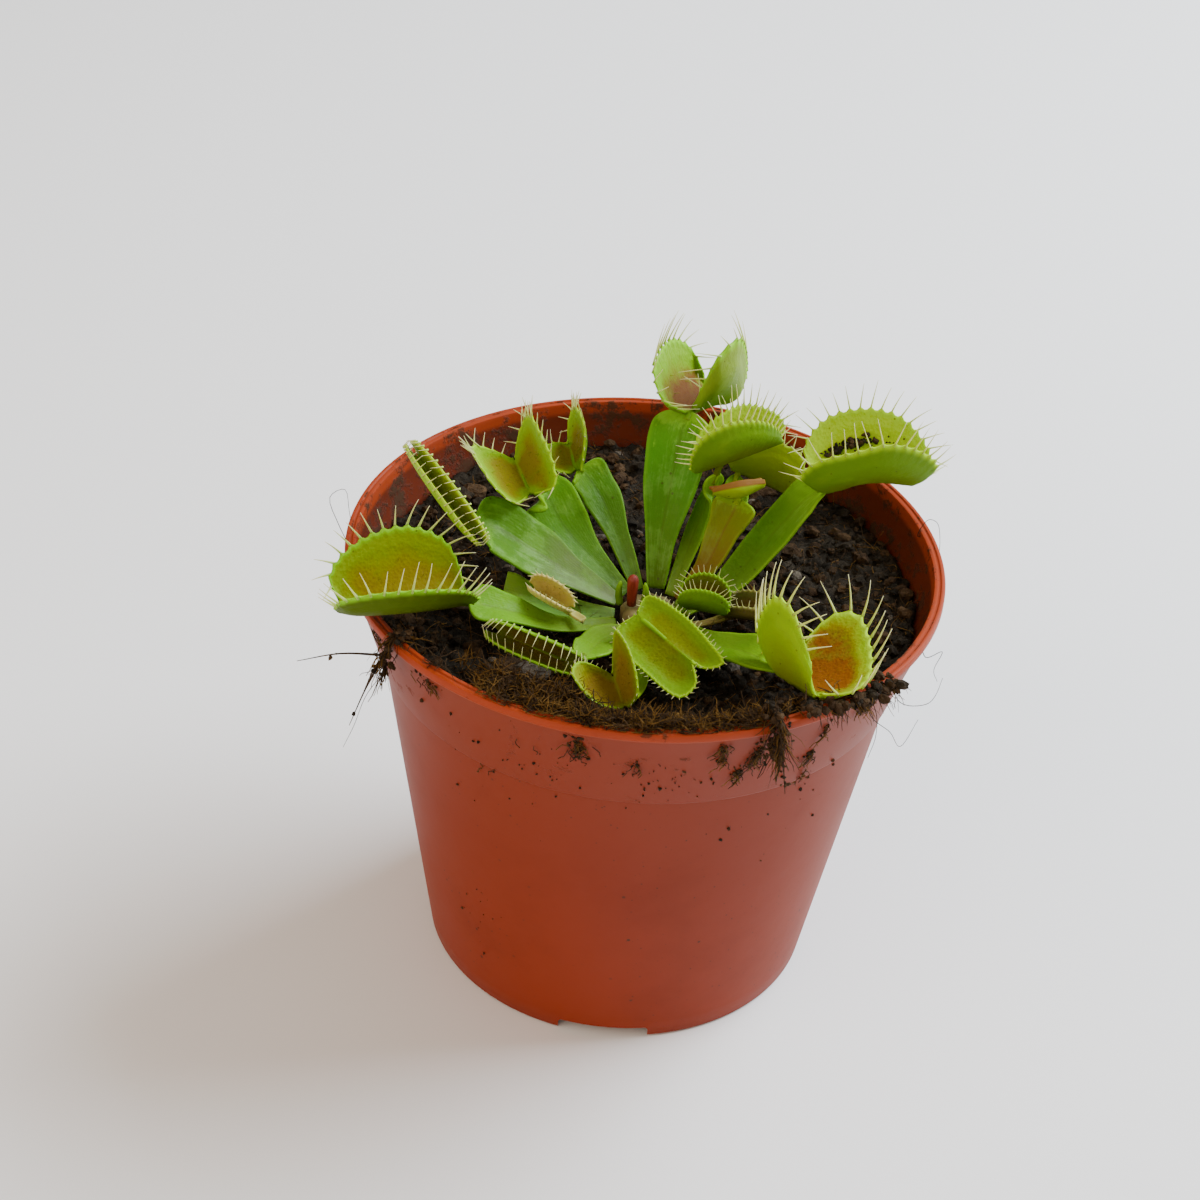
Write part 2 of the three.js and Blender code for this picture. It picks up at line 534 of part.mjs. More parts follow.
// The origin is the middle of the foot ring's plane, under the middle of the whole outline.
group.updateMatrixWorld(true);
const outline = new THREE.Box3().setFromObject(group, true);
group.position.set(-(outline.min.x + outline.max.x) / 2, -(outline.min.y + outline.max.y) / 2, 0);

export default group;
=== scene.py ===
import bisect
import bpy
import bmesh
import math
import random
from mathutils import Matrix, Vector, noise


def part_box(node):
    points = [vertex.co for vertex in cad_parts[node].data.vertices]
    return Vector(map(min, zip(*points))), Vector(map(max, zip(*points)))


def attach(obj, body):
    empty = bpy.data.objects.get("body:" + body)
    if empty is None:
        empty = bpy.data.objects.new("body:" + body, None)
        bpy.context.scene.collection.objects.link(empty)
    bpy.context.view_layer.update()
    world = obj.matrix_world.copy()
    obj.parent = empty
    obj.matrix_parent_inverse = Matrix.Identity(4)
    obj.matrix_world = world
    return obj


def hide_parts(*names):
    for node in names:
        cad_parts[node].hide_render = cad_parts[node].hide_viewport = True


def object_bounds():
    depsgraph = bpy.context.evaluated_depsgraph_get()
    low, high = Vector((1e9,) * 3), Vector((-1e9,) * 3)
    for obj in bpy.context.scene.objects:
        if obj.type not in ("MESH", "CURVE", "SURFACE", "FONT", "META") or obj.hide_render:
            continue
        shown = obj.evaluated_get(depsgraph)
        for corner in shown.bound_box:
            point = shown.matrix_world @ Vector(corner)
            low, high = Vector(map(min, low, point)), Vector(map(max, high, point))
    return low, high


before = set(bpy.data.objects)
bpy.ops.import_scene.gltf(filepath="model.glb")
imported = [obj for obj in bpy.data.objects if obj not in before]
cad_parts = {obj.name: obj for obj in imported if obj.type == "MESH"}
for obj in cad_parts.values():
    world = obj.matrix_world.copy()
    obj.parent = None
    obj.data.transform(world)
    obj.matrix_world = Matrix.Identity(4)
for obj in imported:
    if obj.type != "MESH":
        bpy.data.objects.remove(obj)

cadBox = [list(corner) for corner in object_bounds()]
mm = 0.001
potLow, potHigh = [Vector(corner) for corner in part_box("pot")]
potAxis = Vector(((potLow.x + potHigh.x) / 2, (potLow.y + potHigh.y) / 2, 0.0))
rimRadius = (potHigh.x - potLow.x) / 2 / mm
potHeight = potHigh.z / mm
fullTurn = 2 * math.pi


def place(point):  # millimetres about the pot's axis, to metres in the frame
    return potAxis + Vector(point) * mm


def mix(a, b, t):
    return a + (b - a) * t


def smoothStep(low, high, value):
    t = min(1.0, max(0.0, (value - low) / (high - low)))
    return t * t * (3 - 2 * t)


def newObject(name, data):
    made = bpy.data.objects.new(name, data)
    bpy.context.collection.objects.link(made)
    return made


# camera, lights and floor

view = {
    "cameraPlace": (-6.34, -311.8, 279.5),  # mm about the pot's axis
    "lookDown": 35.0,  # degrees below level
    "roll": 4.2,
    "lens": 75.0,
    "sensor": 36,
    "clipStart": 0.01,
    "floorColour": (0.8, 0.805, 0.82),
    "floorSize": 4,
    "floorDrop": 0.0002,
    "skyColour": (1.0, 0.87, 0.75),
    "skyStrength": 0.68,
    "lightAim": (0, 0, 40),
    # place in mm, power, size in metres and colour
    "lights": {"windowLight": ((620, 330, 640), 26.0, 0.75, (0.86, 0.94, 1.0)),
               "fillLight": ((-500, -500, 420), 5.0, 0.8, (1.0, 0.78, 0.56))},
}


def addCamera():
    data = bpy.data.cameras.new("camera")
    data.lens = view["lens"]
    data.sensor_width = view["sensor"]
    data.clip_start = view["clipStart"]
    camera = newObject("camera", data)
    tilt = Matrix.Rotation(math.radians(90 - view["lookDown"]), 4, "X")
    roll = Matrix.Rotation(math.radians(view["roll"]), 4, "Z")
    camera.matrix_world = Matrix.Translation(place(view["cameraPlace"])) @ tilt @ roll
    bpy.context.scene.camera = camera


def addLights():
    for name, (where, power, size, colour) in view["lights"].items():
        data = bpy.data.lights.new(name, "AREA")
        data.energy = power
        data.size = size
        data.color = colour
        light = newObject(name, data)
        light.location = place(where)
        light.rotation_euler = (place(view["lightAim"]) - light.location).to_track_quat("-Z", "Y").to_euler()


def addWorld():
    world = bpy.data.worlds.new("studio")
    world.use_nodes = True
    background = world.node_tree.nodes["Background"]
    background.inputs["Color"].default_value = (*view["skyColour"], 1)
    background.inputs["Strength"].default_value = view["skyStrength"]
    bpy.context.scene.world = world


# materials

def scaled(colour, factor):
    return tuple(min(1.0, factor * c) for c in colour)


class Finish:  # one procedural material, its colour laid on in steps
    def __init__(self, name, roughness, specular):
        self.material = bpy.data.materials.new(name)
        self.material.use_nodes = True
        self.tree = self.material.node_tree
        self.shader = self.tree.nodes["Principled BSDF"]
        self.put(self.shader.inputs["Roughness"], roughness)
        self.put(self.shader.inputs["Specular IOR Level"], specular)

    def put(self, socket, value):
        if isinstance(value, bpy.types.NodeSocket):
            self.tree.links.new(value, socket)
        else:
            socket.default_value = (*value, 1.0) if socket.type == "RGBA" else value

    def node(self, kind, settings=None, **inputs):
        node = self.tree.nodes.new("ShaderNode" + kind)
        for key, value in (settings or {}).items():
            setattr(node, key, value)
        for key, value in inputs.items():
            self.put(node.inputs[int(key[5:]) if key.startswith("input") else key], value)
        return node

    def ramp(self, factor, *stops):
        node = self.node("ValToRGB", Fac=factor)
        colours = node.color_ramp.elements
        while len(colours) < len(stops):
            colours.new(0.5)
        for element, (position, colour) in zip(colours, stops):
            element.position = position
            element.color = (*colour, 1.0)
        self.colour = node.outputs["Color"]

    def lay(self, share, colour, under=None):  # one more colour over what is there
        under = self.colour if under is None else under
        mixer = self.node("Mix", {"data_type": "RGBA"}, input0=share, input6=under, input7=colour)
        self.colour = mixer.outputs[2]

    def fade(self, value, low, high, outLow=0.0, outHigh=1.0):
        ends = {"From Min": low, "From Max": high, "To Min": outLow, "To Max": outHigh}
        return self.node("MapRange", {"interpolation_type": "SMOOTHSTEP"}, Value=value, **ends).outputs["Result"]

    def maths(self, operation, first, second=0.0):
        return self.node("Math", {"operation": operation}, input0=first, input1=second).outputs["Value"]

    def plus(self, first, second):
        return self.maths("ADD", first, second)

    def times(self, first, second):
        return self.maths("MULTIPLY", first, second)

    def swing(self, value, amount):  # a noise turned into a shift to both sides
        return self.times(self.maths("SUBTRACT", value, 0.5), amount)

    def fromMiddle(self, value):
        return self.maths("ABSOLUTE", self.maths("SUBTRACT", value, 0.5))

    def vectors(self, operation, first, second=(0, 0, 0)):
        return self.node("VectorMath", {"operation": operation}, input0=first, input1=second).outputs

    def spot(self, scale=(1, 1, 1)):  # object coordinates about the pot's axis
        coords = self.node("TexCoord").outputs["Object"]
        moved = self.vectors("SUBTRACT", coords, tuple(potAxis))["Vector"]
        return self.node("Mapping", Vector=moved, Scale=scale).outputs["Vector"]

    def leafMap(self):
        uv = self.node("UVMap", {"uv_map": "leafMap"}).outputs["UV"]
        parts = self.node("SeparateXYZ", Vector=uv).outputs
        return uv, parts["X"], parts["Y"]

    def clouds(self, vector, scale, detail=3.0, roughness=0.55):
        node = self.node("TexNoise", Vector=vector, Scale=scale, Detail=detail, Roughness=roughness)
        return node.outputs["Fac"]

    def cells(self, vector, scale):
        return self.node("TexVoronoi", Vector=vector, Scale=scale).outputs["Distance"]

    def relief(self, *layers):  # bumps one over another: height, strength and distance
        normal = None
        for height, strength, distance in layers:
            node = self.node("Bump", Height=height, Strength=strength, Distance=distance)
            if normal:
                self.tree.links.new(normal, node.inputs["Normal"])
            normal = node.outputs["Normal"]
        self.put(self.shader.inputs["Normal"], normal)

    def flesh(self, weight, radius, depth=0.0012):  # light that goes into the piece
        for key, value in (("Weight", weight), ("Radius", radius), ("Scale", depth)):
            self.shader.inputs["Subsurface " + key].default_value = value

    def done(self, roughness=None):
        self.put(self.shader.inputs["Base Color"], self.colour)
        if roughness:
            self.put(self.shader.inputs["Roughness"], roughness)
        return self.material


# leaf colours. Blade: base, middle, tip and how much painted sheen lies on it (pale streaks painted in for glossy
# reflections). Trap: its outside near the margin and at the heel, its inside near the margin and in the middle, the
# blush of that middle, and the margin itself. Then how yellow the blade's tip is, where the trap's rim
# starts, and where its blush ends, both as shares of the lobe's depth.
toneParts = ("base", "middle", "tip", "paintedSheen", "outer", "heel", "inner", "centre", "blush", "margin",
             "flush", "rimStart", "patchEnd")
leafTones = {
    "tall": ((0.07, 0.14, 0.01), (0.05, 0.2, 0.003), (0.1, 0.27, 0.003), 0.12, (0.18, 0.27, 0.02),
        (0.1, 0.24, 0.003), (0.17, 0.34, 0.004), (0.13, 0.032, 0.008), 0.95, (0.2, 0.46, 0.006), 0.5, 0.9, 0.86),
    "lime": ((0.12, 0.2, 0.02), (0.08, 0.21, 0.002), (0.16, 0.32, 0.002), 0.05, (0.1, 0.21, 0.002),
        (0.11, 0.14, 0.002), (0.33, 0.48, 0.01), (0.26, 0.34, 0.006), 0.5, (0.32, 0.52, 0.01), 0.3, 0.9, 0.86),
    "yellowOlive": ((0.12, 0.2, 0.02), (0.1, 0.2, 0.003), (0.13, 0.26, 0.003), 0.05, (0.26, 0.36, 0.003),
        (0.22, 0.3, 0.002), (0.22, 0.34, 0.005), (0.2, 0.2, 0.005), 0.5, (0.26, 0.36, 0.01), 0.3, 0.9, 0.86),
    "ruddy": ((0.15, 0.065, 0.012), (0.12, 0.15, 0.004), (0.13, 0.2, 0.004), 0.04, (0.22, 0.34, 0.005),
        (0.2, 0.3, 0.005), (0.2, 0.2, 0.008), (0.2, 0.06, 0.012), 0.7, (0.17, 0.036, 0.018), 0.3, 0.62, 0.86),
    "front": ((0.12, 0.2, 0.01), (0.09, 0.2, 0.002), (0.13, 0.26, 0.002), 0.0, (0.21, 0.38, 0.002),
        (0.17, 0.22, 0.002), (0.24, 0.42, 0.003), (0.19, 0.062, 0.005), 1.0, (0.36, 0.58, 0.01), 0.3, 0.9, 1.05),
    "open": ((0.14, 0.22, 0.01), (0.14, 0.27, 0.003), (0.2, 0.36, 0.003), 0.04, (0.16, 0.34, 0.003),
        (0.12, 0.26, 0.003), (0.13, 0.25, 0.002), (0.125, 0.115, 0.003), 0.7, (0.28, 0.52, 0.006), 0.3, 0.9, 0.86),
    "smallOlive": ((0.12, 0.2, 0.01), (0.14, 0.27, 0.004), (0.18, 0.3, 0.004), 0.04, (0.16, 0.2, 0.006),
        (0.18, 0.14, 0.006), (0.17, 0.2, 0.006), (0.18, 0.1, 0.008), 0.8, (0.2, 0.36, 0.01), 0.3, 0.9, 0.86),
    "darkOlive": ((0.13, 0.2, 0.02), (0.1, 0.22, 0.004), (0.12, 0.28, 0.004), 0.05, (0.1, 0.22, 0.004),
        (0.08, 0.12, 0.004), (0.09, 0.12, 0.004), (0.085, 0.06, 0.006), 0.9, (0.17, 0.38, 0.008), 0.3, 0.9, 0.86),
    "yellow": ((0.12, 0.2, 0.02), (0.12, 0.3, 0.003), (0.08, 0.22, 0.002), 0.0, (0.06, 0.1, 0.002),
        (0.07, 0.065, 0.002), (0.17, 0.25, 0.002), (0.17, 0.1, 0.004), 0.75, (0.2, 0.5, 0.004), 0.3, 0.9, 0.86),
    "bluish": ((0.17, 0.23, 0.1), (0.07, 0.19, 0.005), (0.08, 0.21, 0.004), 0.16, (0.22, 0.42, 0.006),
        (0.16, 0.28, 0.006), (0.3, 0.42, 0.01), (0.2, 0.22, 0.01), 0.5, (0.34, 0.52, 0.02), 0.3, 0.9, 0.86),
    "mottled": ((0.12, 0.22, 0.05), (0.12, 0.28, 0.03), (0.26, 0.42, 0.06), 0.3, (0.2, 0.4, 0.01), (0.2, 0.3, 0.01),
        (0.2, 0.4, 0.01), (0.2, 0.2, 0.01), 0.2, (0.3, 0.5, 0.02), 0.3, 0.9, 0.86),
    "deep": ((0.08, 0.17, 0.025), (0.07, 0.21, 0.005), (0.14, 0.33, 0.004), 0.12, (0.16, 0.33, 0.005),
        (0.12, 0.25, 0.005), (0.18, 0.33, 0.004), (0.17, 0.085, 0.006), 0.75, (0.3, 0.52, 0.01), 0.8, 0.9, 0.86),
    "dry": ((0.16, 0.11, 0.03), (0.2, 0.15, 0.04), (0.24, 0.18, 0.05), 0.1, (0.14, 0.12, 0.03), (0.1, 0.07, 0.02),
        (0.12, 0.13, 0.03), (0.12, 0.06, 0.015), 0.7, (0.26, 0.25, 0.08), 0.3, 0.9, 0.86),
    "straw": ((0.36, 0.3, 0.08), (0.45, 0.42, 0.1), (0.5, 0.48, 0.12), 0.1, (0.56, 0.52, 0.14), (0.4, 0.4, 0.06),
        (0.42, 0.36, 0.08), (0.3, 0.2, 0.05), 0.5, (0.62, 0.56, 0.2), 0.3, 0.9, 0.86),
}

# pattern sizes and spots of the leaves
leafSkin = {
    "bladeCloud": 170.0, "bladePatches": 320.0, "bladeGrain": 1500.0, "bladeSpots": 430.0,
    "lobeCloud": 240.0, "lobeGrain": 1300.0, "lobeSpots": 480.0, "glands": 1900.0, "lobeBack": 700.0,
    # after the yellow tip: the pale colour of the painted sheen on the blades, then the colour of their spots
    "yellowTip": (0.2, 0.44, 0.006), "sheenColour": (0.2, 0.42, 0.08), "bladeSpot": (0.05, 0.04, 0.012),
    "lobeSpot": (0.05, 0.03, 0.01), "bristle": (0.5, 0.5, 0.2), "bristleTip": (0.6, 0.56, 0.32),
    "bristleStain": (0.34, 0.3, 0.12),
}


def bladeFinish(name, tone):
    skin = Finish(name, 0.5, 0.09)
    uv, along, across = skin.leafMap()
    spot = skin.spot()
    cloud = skin.clouds(spot, leafSkin["bladeCloud"], 4.0)
    skin.ramp(skin.plus(along, skin.swing(cloud, 0.4)),
              (0.04, tone["base"]), (0.42, tone["middle"]), (0.9, tone["tip"]))
    side = skin.fromMiddle(across)
    skin.lay(skin.fade(side, 0.4, 0.5, 0.0, 0.4), scaled(tone["tip"], 1.35))
    skin.lay(skin.fade(side, 0.0, 0.06, 0.4, 0.0), scaled(tone["base"], 0.8))
    veins = skin.node("TexWave", {"bands_direction": "Y"}, Vector=uv, Scale=5.5, Distortion=3.5, Detail=2.0)
    veins = veins.outputs["Fac"]
    skin.lay(skin.fade(veins, 0.7, 1.0, 0.0, 0.07), scaled(tone["middle"], 0.6))
    patches = skin.clouds(spot, leafSkin["bladePatches"], 7.0, 0.72)
    lengthwise = skin.node("Mapping", Vector=uv, Scale=(2.2, 6.5, 1.0)).outputs["Vector"]
    streaks = skin.clouds(lengthwise, 1.5, 6.0, 0.68)
    ragged = skin.times(skin.maths("SUBTRACT", skin.plus(streaks, patches), 1.0), 0.9)
    skin.lay(skin.fade(skin.plus(along, ragged), 0.62, 0.8, 0.0, tone["flush"]), leafSkin["yellowTip"])
    # painted sheen: pale streaks laid into the colour for glossy reflections, strongest near the base
    paintedSheen = skin.fade(along, 0.45, 0.95, tone["paintedSheen"] * 2.2, tone["paintedSheen"] * 0.8)
    skin.lay(skin.times(skin.fade(skin.plus(ragged, cloud), 0.46, 0.68), paintedSheen), leafSkin["sheenColour"])
    skin.lay(skin.fade(patches, 0.62, 0.72, 0.0, 0.35), scaled(tone["middle"], 0.45))
    spots = skin.cells(spot, leafSkin["bladeSpots"])
    skin.lay(skin.fade(spots, 0.05, 0.12, 0.6, 0.0), leafSkin["bladeSpot"])
    skin.relief((skin.clouds(spot, leafSkin["bladeGrain"]), 0.3, 0.0003), (veins, 0.05, 0.0003),
                (cloud, 0.25, 0.0012))
    skin.flesh(0.15, (0.5, 1.0, 0.05))
    return skin.done(skin.fade(ragged, -0.15, 0.15, 0.6, 0.32))


def lobeFinish(name, tone, inside):
    skin = Finish(name, 0.55, 0.06)
    _, along, across = skin.leafMap()
    spot = skin.spot()
    depth = skin.times(skin.fromMiddle(across), 2.0)
    cloud = skin.clouds(spot, leafSkin["lobeCloud"], 5.0, 0.6)
    ends = skin.fromMiddle(along)
    drift = skin.swing(cloud, 0.5)
    field = skin.plus(depth, drift)
    if inside:
        patchEnd = tone["patchEnd"]
        patch = skin.times(skin.fade(field, patchEnd - 0.44, patchEnd, tone["blush"], 0.0),
                           skin.fade(skin.plus(ends, drift), 0.24, 0.46, 1.0, 0.0))
        skin.lay(patch, tone["centre"], tone["inner"])
        grain = skin.cells(spot, leafSkin["glands"])
        skin.lay(skin.times(patch, skin.fade(grain, 0.1, 0.35, 0.55, 0.0)), scaled(tone["centre"], 0.55))
        skin.lay(skin.fade(depth, 0.0, 0.07, 0.6, 0.0), scaled(tone["inner"], 1.1))
    else:
        heel = skin.times(skin.fade(field, 0.05, 0.75, 0.95, 0.0), skin.fade(ends, 0.3, 0.5, 1.0, 0.35))
        skin.lay(heel, tone["heel"], tone["outer"])
        grain = skin.clouds(spot, leafSkin["lobeBack"])
    skin.lay(skin.fade(cloud, 0.52, 0.75, 0.0, 0.3), scaled(tone["inner"], 0.6))
    skin.lay(skin.fade(depth, tone["rimStart"], tone["rimStart"] + 0.1, 0.0, 0.85), tone["margin"])
    spots = skin.cells(spot, leafSkin["lobeSpots"])
    skin.lay(skin.fade(spots, 0.04, 0.1, 0.7, 0.0), leafSkin["lobeSpot"])
    skin.relief((grain, 0.25, 0.0003), (skin.clouds(spot, leafSkin["lobeGrain"], 2.0), 0.15, 0.0003),
                (cloud, 0.2, 0.001))
    skin.flesh(0.15, (0.6, 1.0, 0.05))
    return skin.done()


def bristleFinish(name, tone):
    skin = Finish(name, 0.45, 0.3)
    along = skin.leafMap()[1]
    pale = leafSkin["bristle"]
    paler = tuple(mix(a, b, 0.6) for a, b in zip(tone["margin"], pale))
    skin.ramp(along, (0.0, scaled(tone["margin"], 0.9)), (0.3, paler), (0.7, pale), (1.0, leafSkin["bristleTip"]))
    fine = skin.clouds(skin.spot(), 1800.0, 2.0)
    skin.lay(skin.fade(fine, 0.5, 0.8, 0.0, 0.4), leafSkin["bristleStain"])
    skin.relief((fine, 0.15, 0.0002))
    skin.flesh(0.3, (0.8, 0.9, 0.4))
    return skin.done()


leafMaterials = {}
for toneName, row in leafTones.items():
    tone = dict(zip(toneParts, row))
    leafMaterials[toneName] = [bladeFinish("blade_" + toneName, tone),
                               lobeFinish("lobe_inside_" + toneName, tone, True),
                               lobeFinish("lobe_outside_" + toneName, tone, False),
                               bristleFinish("bristle_" + toneName, tone)]
print("leaf materials made")


# curves and meshes shared by the pieces

def splinePoint(points, u):  # centripetal curve through the points
    last = len(points) - 1
    i = min(int(u * last), last - 1)
    w = u * last - i
    p1, p2 = points[i], points[i + 1]
    p0 = points[i - 1] if i > 0 else p1 * 2 - p2
    p3 = points[i + 2] if i + 2 <= last else p2 * 2 - p1
    gaps = [max((b - a).length ** 0.5, 1e-6) for a, b in ((p0, p1), (p1, p2), (p2, p3))]
    leave = ((p1 - p0) / gaps[0] - (p2 - p0) / (gaps[0] + gaps[1]) + (p2 - p1) / gaps[1]) * gaps[1]
    arrive = ((p2 - p1) / gaps[1] - (p3 - p1) / (gaps[1] + gaps[2]) + (p3 - p2) / gaps[2]) * gaps[1]
    return (p1 + leave * w + (p2 * 3 - p1 * 3 - leave * 2 - arrive) * w * w
            + (p1 * 2 - p2 * 2 + leave + arrive) * w * w * w)


def smoothPath(points, steps):
    return [splinePoint(points, k / steps) for k in range(steps + 1)]


def evenSpline(points, steps=240):  # the same curve, walked at even speed
    samples = smoothPath(points, steps)
    lengths = [0.0]
    for a, b in zip(samples, samples[1:]):
        lengths.append(lengths[-1] + (b - a).length)

    def at(u):
        goal = min(1.0, max(0.0, u)) * lengths[-1]
        k = min(steps - 1, max(0, bisect.bisect_right(lengths, goal) - 1))
        return samples[k].lerp(samples[k + 1], (goal - lengths[k]) / max(1e-12, lengths[k + 1] - lengths[k]))

    return at


def bentGrid(bm, columns, rows, pointAt, materialIndex=0):
    uvLayer = bm.loops.layers.uv.get("leafMap") or bm.loops.layers.uv.new("leafMap")
    made = bmesh.ops.create_grid(bm, x_segments=columns, y_segments=rows, size=0.5)["verts"]
    flat = {vert: (vert.co.x + 0.5, vert.co.y + 0.5) for vert in made}
    for face in {face for vert in made for face in vert.link_faces}:
        face.material_index = materialIndex
        face.smooth = True
        for loop in face.loops:
            loop[uvLayer].uv = flat[loop.vert]
    for vert, (u, v) in flat.items():
        vert.co = pointAt(u, v)
    return made


def addTube(bm, points, radii, sides, materialIndex=0):  # closed at both ends by a point
    count = len(points)
    tangents = [(points[min(i + 1, count - 1)] - points[max(i - 1, 0)]).normalized() for i in range(count)]
    side = tangents[0].orthogonal().normalized()
    frames = []
    for tangent in tangents:
        side = (side - tangent * side.dot(tangent)).normalized()
        frames.append((side.copy(), tangent.cross(side)))
    rings = [0] + list(range(count)) + [count - 1]

    def pointAt(u, v):
        k = round(u * (count + 1))
        i = rings[k]
        turn = fullTurn * v
        reach = radii[i] if 0 < k <= count else 0.0
        return points[i] + frames[i][0] * (reach * math.cos(turn)) + frames[i][1] * (reach * math.sin(turn))

    made = bentGrid(bm, count + 1, sides, pointAt, materialIndex)
    bmesh.ops.remove_doubles(bm, verts=made, dist=1e-7)


def taper(radius, end, steps):  # radii in mm from the whole radius down to a share of it
    return [radius * mm * (1 - (1 - end) * k / steps) for k in range(steps + 1)]


def toMesh(bm, name):
    mesh = bpy.data.meshes.new(name)
    bm.to_mesh(mesh)
    bm.free()
    return mesh


def evaluated(thing):  # the mesh with its modifiers applied, the helper object gone
    bpy.context.view_layer.update()
    mesh = bpy.data.meshes.new_from_object(thing.evaluated_get(bpy.context.evaluated_depsgraph_get()))
    bpy.data.objects.remove(thing)
    return mesh


def spun(profile, centre, steps):  # radii and heights in mm, turned about an upright axis
    bm = bmesh.new()
    verts = [bm.verts.new(centre + Vector((radius, 0, height)) * mm) for radius, height in profile]
    edges = [bm.edges.new(pair) for pair in zip(verts, verts[1:])]
    bmesh.ops.spin(bm, geom=verts + edges, cent=centre, axis=(0, 0, 1), angle=fullTurn, steps=steps,
                   use_merge=True)
    bmesh.ops.remove_doubles(bm, verts=bm.verts[:], dist=1e-6)
    return bm


def inBatches(bm, count, addOne, size=50):  # hundreds of small shapes, a few dozen to a mesh
    for first in range(0, count, size):
        part = bmesh.new()
        for k in range(first, min(count, first + size)):
            addOne(part, k)
        mesh = toMesh(part, "batch")
        bm.from_mesh(mesh)
        bpy.data.meshes.remove(mesh)


def makePiece(name, shape, materials, nodes=(), outward=False):
    if outward:
        bmesh.ops.recalc_face_normals(shape, faces=shape.faces[:])
    mesh = toMesh(shape, name) if isinstance(shape, bmesh.types.BMesh) else shape
    piece = newObject(name, mesh)
    for material in materials:
        mesh.materials.append(material)
    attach(piece, "root")
    if nodes:
        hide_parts(*nodes)


def thickened(bm, thickness, thin, weightOf, backMaterial=0):
    mesh = toMesh(bm, "sheet")
    sheet = newObject("sheet", mesh)
    group = sheet.vertex_groups.new(name="flesh")
    uvs = {}
    for polygon in mesh.polygons:
        for k in polygon.loop_indices:
            uvs[mesh.loops[k].vertex_index] = tuple(mesh.uv_layers["leafMap"].data[k].uv)
    for index, (u, v) in uvs.items():
        group.add([index], weightOf(u, v), "REPLACE")
    solidify = sheet.modifiers.new("thickness", "SOLIDIFY")
    solidify.thickness = thickness * mm
    solidify.offset = -1
    solidify.vertex_group = "flesh"
    solidify.thickness_vertex_group = thin
    solidify.material_offset = backMaterial
    solidify.use_even_offset = False
    for _ in range(4):
        mesh.materials.append(None)
    return evaluated(sheet)


# leaves, in mm about the pot's axis: the blade's centre line, widths and roll, the trap's hinge and
# either the outlines of its lobes' free edges or only the middles of those edges. Bristles: how many
# on each edge, their length and radius.

